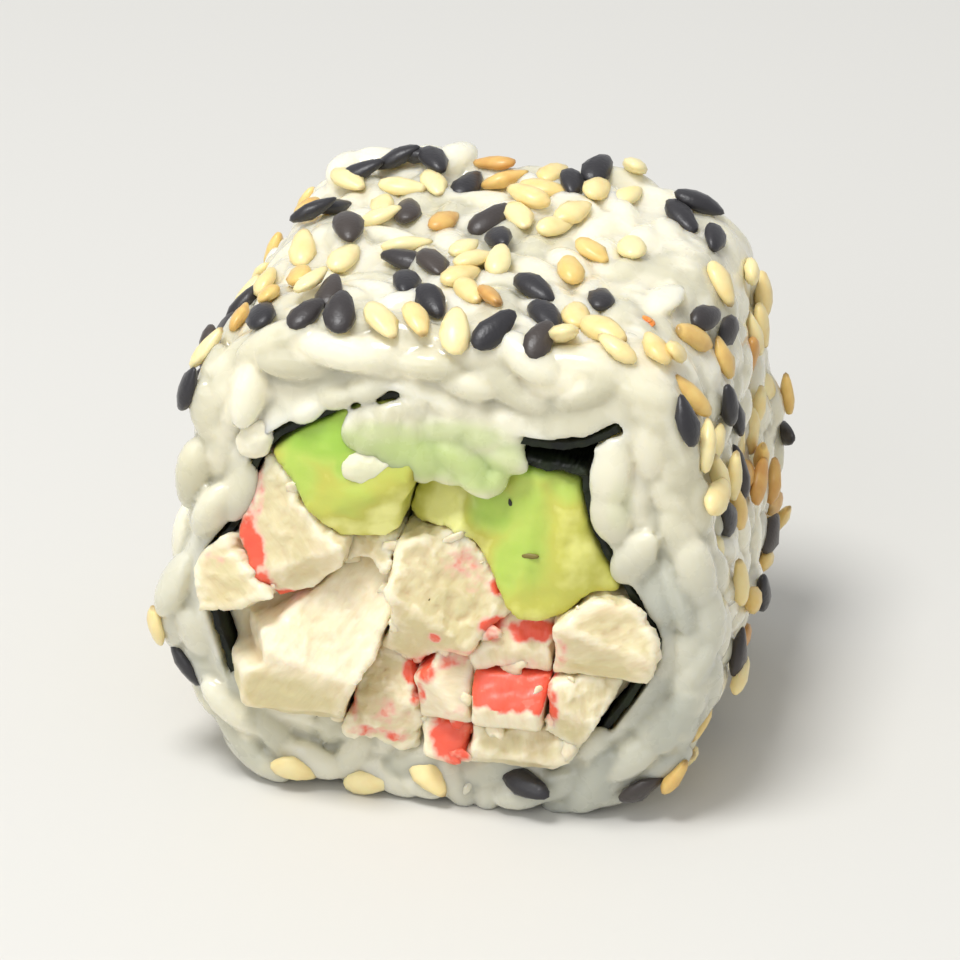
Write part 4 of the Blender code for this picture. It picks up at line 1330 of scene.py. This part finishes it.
class URAMAKI_OT_flecks(bpy.types.Operator):
    """Drop the few orange flecks and dark specks"""

    bl_idname = "uramaki.flecks"
    bl_label = "Flecks"

    def execute(self, context):
        settings = context.scene.uramaki.flecks
        ground = Surface(bpy.data.objects["rice_grains"], bpy.data.objects["rice_single_grains"])
        fleck = model_pip("fleck", settings.size, settings.size * 0.5, settings.size * 0.3, 10, 7, 0.3)
        orange = []
        for x, depth, heading in ((11.8, 5.1, 130), (12.2, 4.6, 100), (-0.9, 12.6, 80)):
            turn = math.radians(heading)
            start = Vector((SECTION_X + x * MM, CUT_FRONT + depth * MM, TOP_FLAT)) - SIGHT * 12 * MM
            rest = ground.drop(start, SIGHT)
            matrix = lying(rest + Vector((0, 0, 0.1 * MM)), (0, 0, 1), (math.cos(turn), math.sin(turn), 0))
            orange.append(placed(fleck, matrix, 0.5))
        flecks = join_all(orange, "orange_flecks")
        roughen(flecks, 0.5 * MM, 0.15 * MM)
        carrot, shader = new_material(
            "orange_spice_fleck", Roughness=0.4, Subsurface_Weight=0.3, Subsurface_Scale=0.4 * MM, IOR=1.45
        )
        shader.inputs["Base Color"].default_value = settings.orange
        place = node(carrot, "ShaderNodeTexCoord").outputs["Object"]
        patch = node(carrot, "ShaderNodeTexNoise", {"Vector": place, "Scale": 2500.0}).outputs["Fac"]
        colour = node(
            carrot, "ShaderNodeValToRGB", {"Fac": patch}, stops=((0.35, settings.orange), (0.7, linear("F2A04E")))
        ).outputs["Color"]
        link(carrot, colour, shader, "Base Color")
        finish_piece(flecks, "orange_flecks", carrot, "rice")

        dark = []
        for holder, x, z, heading, long, wide, tone in (
            ("avocado_right_flesh", 4.4, 21.6, 110, 0.7, 0.5, 0.1), ("avocado_right_flesh", 5.8, 18.7, 5, 0.95, 0.7, 0.9),
            ("surimi_centre_chunk", -0.3, 15.4, 60, 0.35, 0.35, 0.2),
        ):  # fmt: skip
            turn = math.radians(heading)
            rest = Surface(bpy.data.objects[holder]).drop(section(x, z, 10), Vector((0, 1, 0)))
            matrix = lying(rest, (0, -1, 0), (math.cos(turn), 0, math.sin(turn)), 0, 0, (wide, wide, long))
            dark.append(placed(fleck, matrix, tone))
        bpy.data.objects.remove(fleck)
        specks = join_all(dark, "dark_specks")
        roughen(specks, 0.7 * MM, 0.3 * MM, 1)
        husk, shader = new_material("speck_of_husk", Roughness=0.5, IOR=1.45)
        tone = node(husk, "ShaderNodeAttribute", attribute_name="tone").outputs["Fac"]
        place = node(husk, "ShaderNodeTexCoord").outputs["Object"]
        patch = node(husk, "ShaderNodeTexNoise", {"Vector": place, "Scale": 3000.0}).outputs["Fac"]
        mixed = node(husk, "ShaderNodeMath", {0: tone, 1: patch}, operation="ADD").outputs[0]
        colour = node(
            husk, "ShaderNodeValToRGB", {"Fac": mixed}, stops=((0.6, settings.dark), (1.0, linear("7D6F32")))
        ).outputs["Color"]
        link(husk, colour, shader, "Base Color")
        finish_piece(specks, "dark_specks", husk, "nori")
        return {"FINISHED"}


def look_at(obj, target):
    obj.rotation_euler = (target - obj.location).to_track_quat("-Z", "Y").to_euler()


class URAMAKI_OT_stage(bpy.types.Operator):
    """Set the floor, the soft light and the camera"""

    bl_idname = "uramaki.stage"
    bl_label = "Stage"

    def execute(self, context):
        settings = context.scene.uramaki.stage
        scene = context.scene
        middle = (CAD_BOX[0] + CAD_BOX[1]) / 2
        bpy.ops.object.select_all(action="DESELECT")
        bpy.ops.mesh.primitive_plane_add(size=3.0, location=(0, 0, -0.02 * MM))
        floor = context.active_object
        floor.name = "floor"
        matt, shader = new_material("matt_pale_floor", Roughness=0.75, IOR=1.45)
        shader.inputs["Base Color"].default_value = settings.floor
        floor.data.materials.append(matt)

        for name, place, size, power in (
            ("overhead", (-0.10, -0.14, 0.54), 0.20, settings.overhead),
            ("front", (-0.22, -0.55, 0.34), 0.5, settings.front),
        ):
            bpy.ops.object.light_add(type="AREA", location=place)
            lamp = context.active_object
            lamp.name = name
            lamp.data.shape = "DISK"
            lamp.data.size = size
            lamp.data.energy = power
            look_at(lamp, middle)
        world = bpy.data.worlds.new("soft light all round")
        scene.world = world
        world.use_nodes = True
        world.node_tree.nodes["Background"].inputs["Color"].default_value = linear("F4F6FA")
        world.node_tree.nodes["Background"].inputs["Strength"].default_value = settings.sky

        bpy.ops.object.camera_add()
        camera = context.active_object
        camera.name = "camera"
        turn, rise = settings.azimuth, settings.elevation
        back = Vector((math.sin(turn) * math.cos(rise), -math.cos(turn) * math.cos(rise), math.sin(rise)))
        camera.location = middle + back * settings.distance
        look_at(camera, middle)
        camera.data.lens = settings.lens
        camera.data.sensor_width = 36
        camera.data.clip_start = 0.01
        scene.camera = camera
        scene.view_settings.view_transform = "Standard"
        return {"FINISHED"}


class URAMAKI_PT_panel(bpy.types.Panel):
    """The pieces of the roll and their settings"""

    bl_idname = "URAMAKI_PT_panel"
    bl_label = "Uramaki"
    bl_space_type = "VIEW_3D"
    bl_region_type = "UI"
    bl_category = "Uramaki"

    def draw(self, context):
        settings = context.scene.uramaki
        for operator, group in STEPS:
            box = self.layout.box()
            box.operator(operator.bl_idname)
            values = getattr(settings, group)
            for name in values.__annotations__:
                box.prop(values, name)


STEPS = (
    (URAMAKI_OT_rice, "rice"),
    (URAMAKI_OT_nori, "nori"),
    (URAMAKI_OT_avocado, "avocado"),
    (URAMAKI_OT_surimi, "surimi"),
    (URAMAKI_OT_crumbs, "surimi"),
    (URAMAKI_OT_single_grains, "rice"),
    (URAMAKI_OT_sesame, "sesame"),
    (URAMAKI_OT_flecks, "flecks"),
    (URAMAKI_OT_stage, "stage"),
)
CLASSES = (
    RiceSettings, NoriSettings, AvocadoSettings, SurimiSettings, SesameSettings, FleckSettings, StageSettings,
    UramakiSettings, *(operator for operator, _ in STEPS), URAMAKI_PT_panel,
)  # fmt: skip


def register():
    for cls in CLASSES:
        bpy.utils.register_class(cls)
    bpy.types.Scene.uramaki = PointerProperty(type=UramakiSettings)


def unregister():
    del bpy.types.Scene.uramaki
    for cls in reversed(CLASSES):
        bpy.utils.unregister_class(cls)


def main():
    register()
    for operator, _ in STEPS:
        area, name = operator.bl_idname.split(".")
        getattr(getattr(bpy.ops, area), name)()


if __name__ == "__main__":
    main()
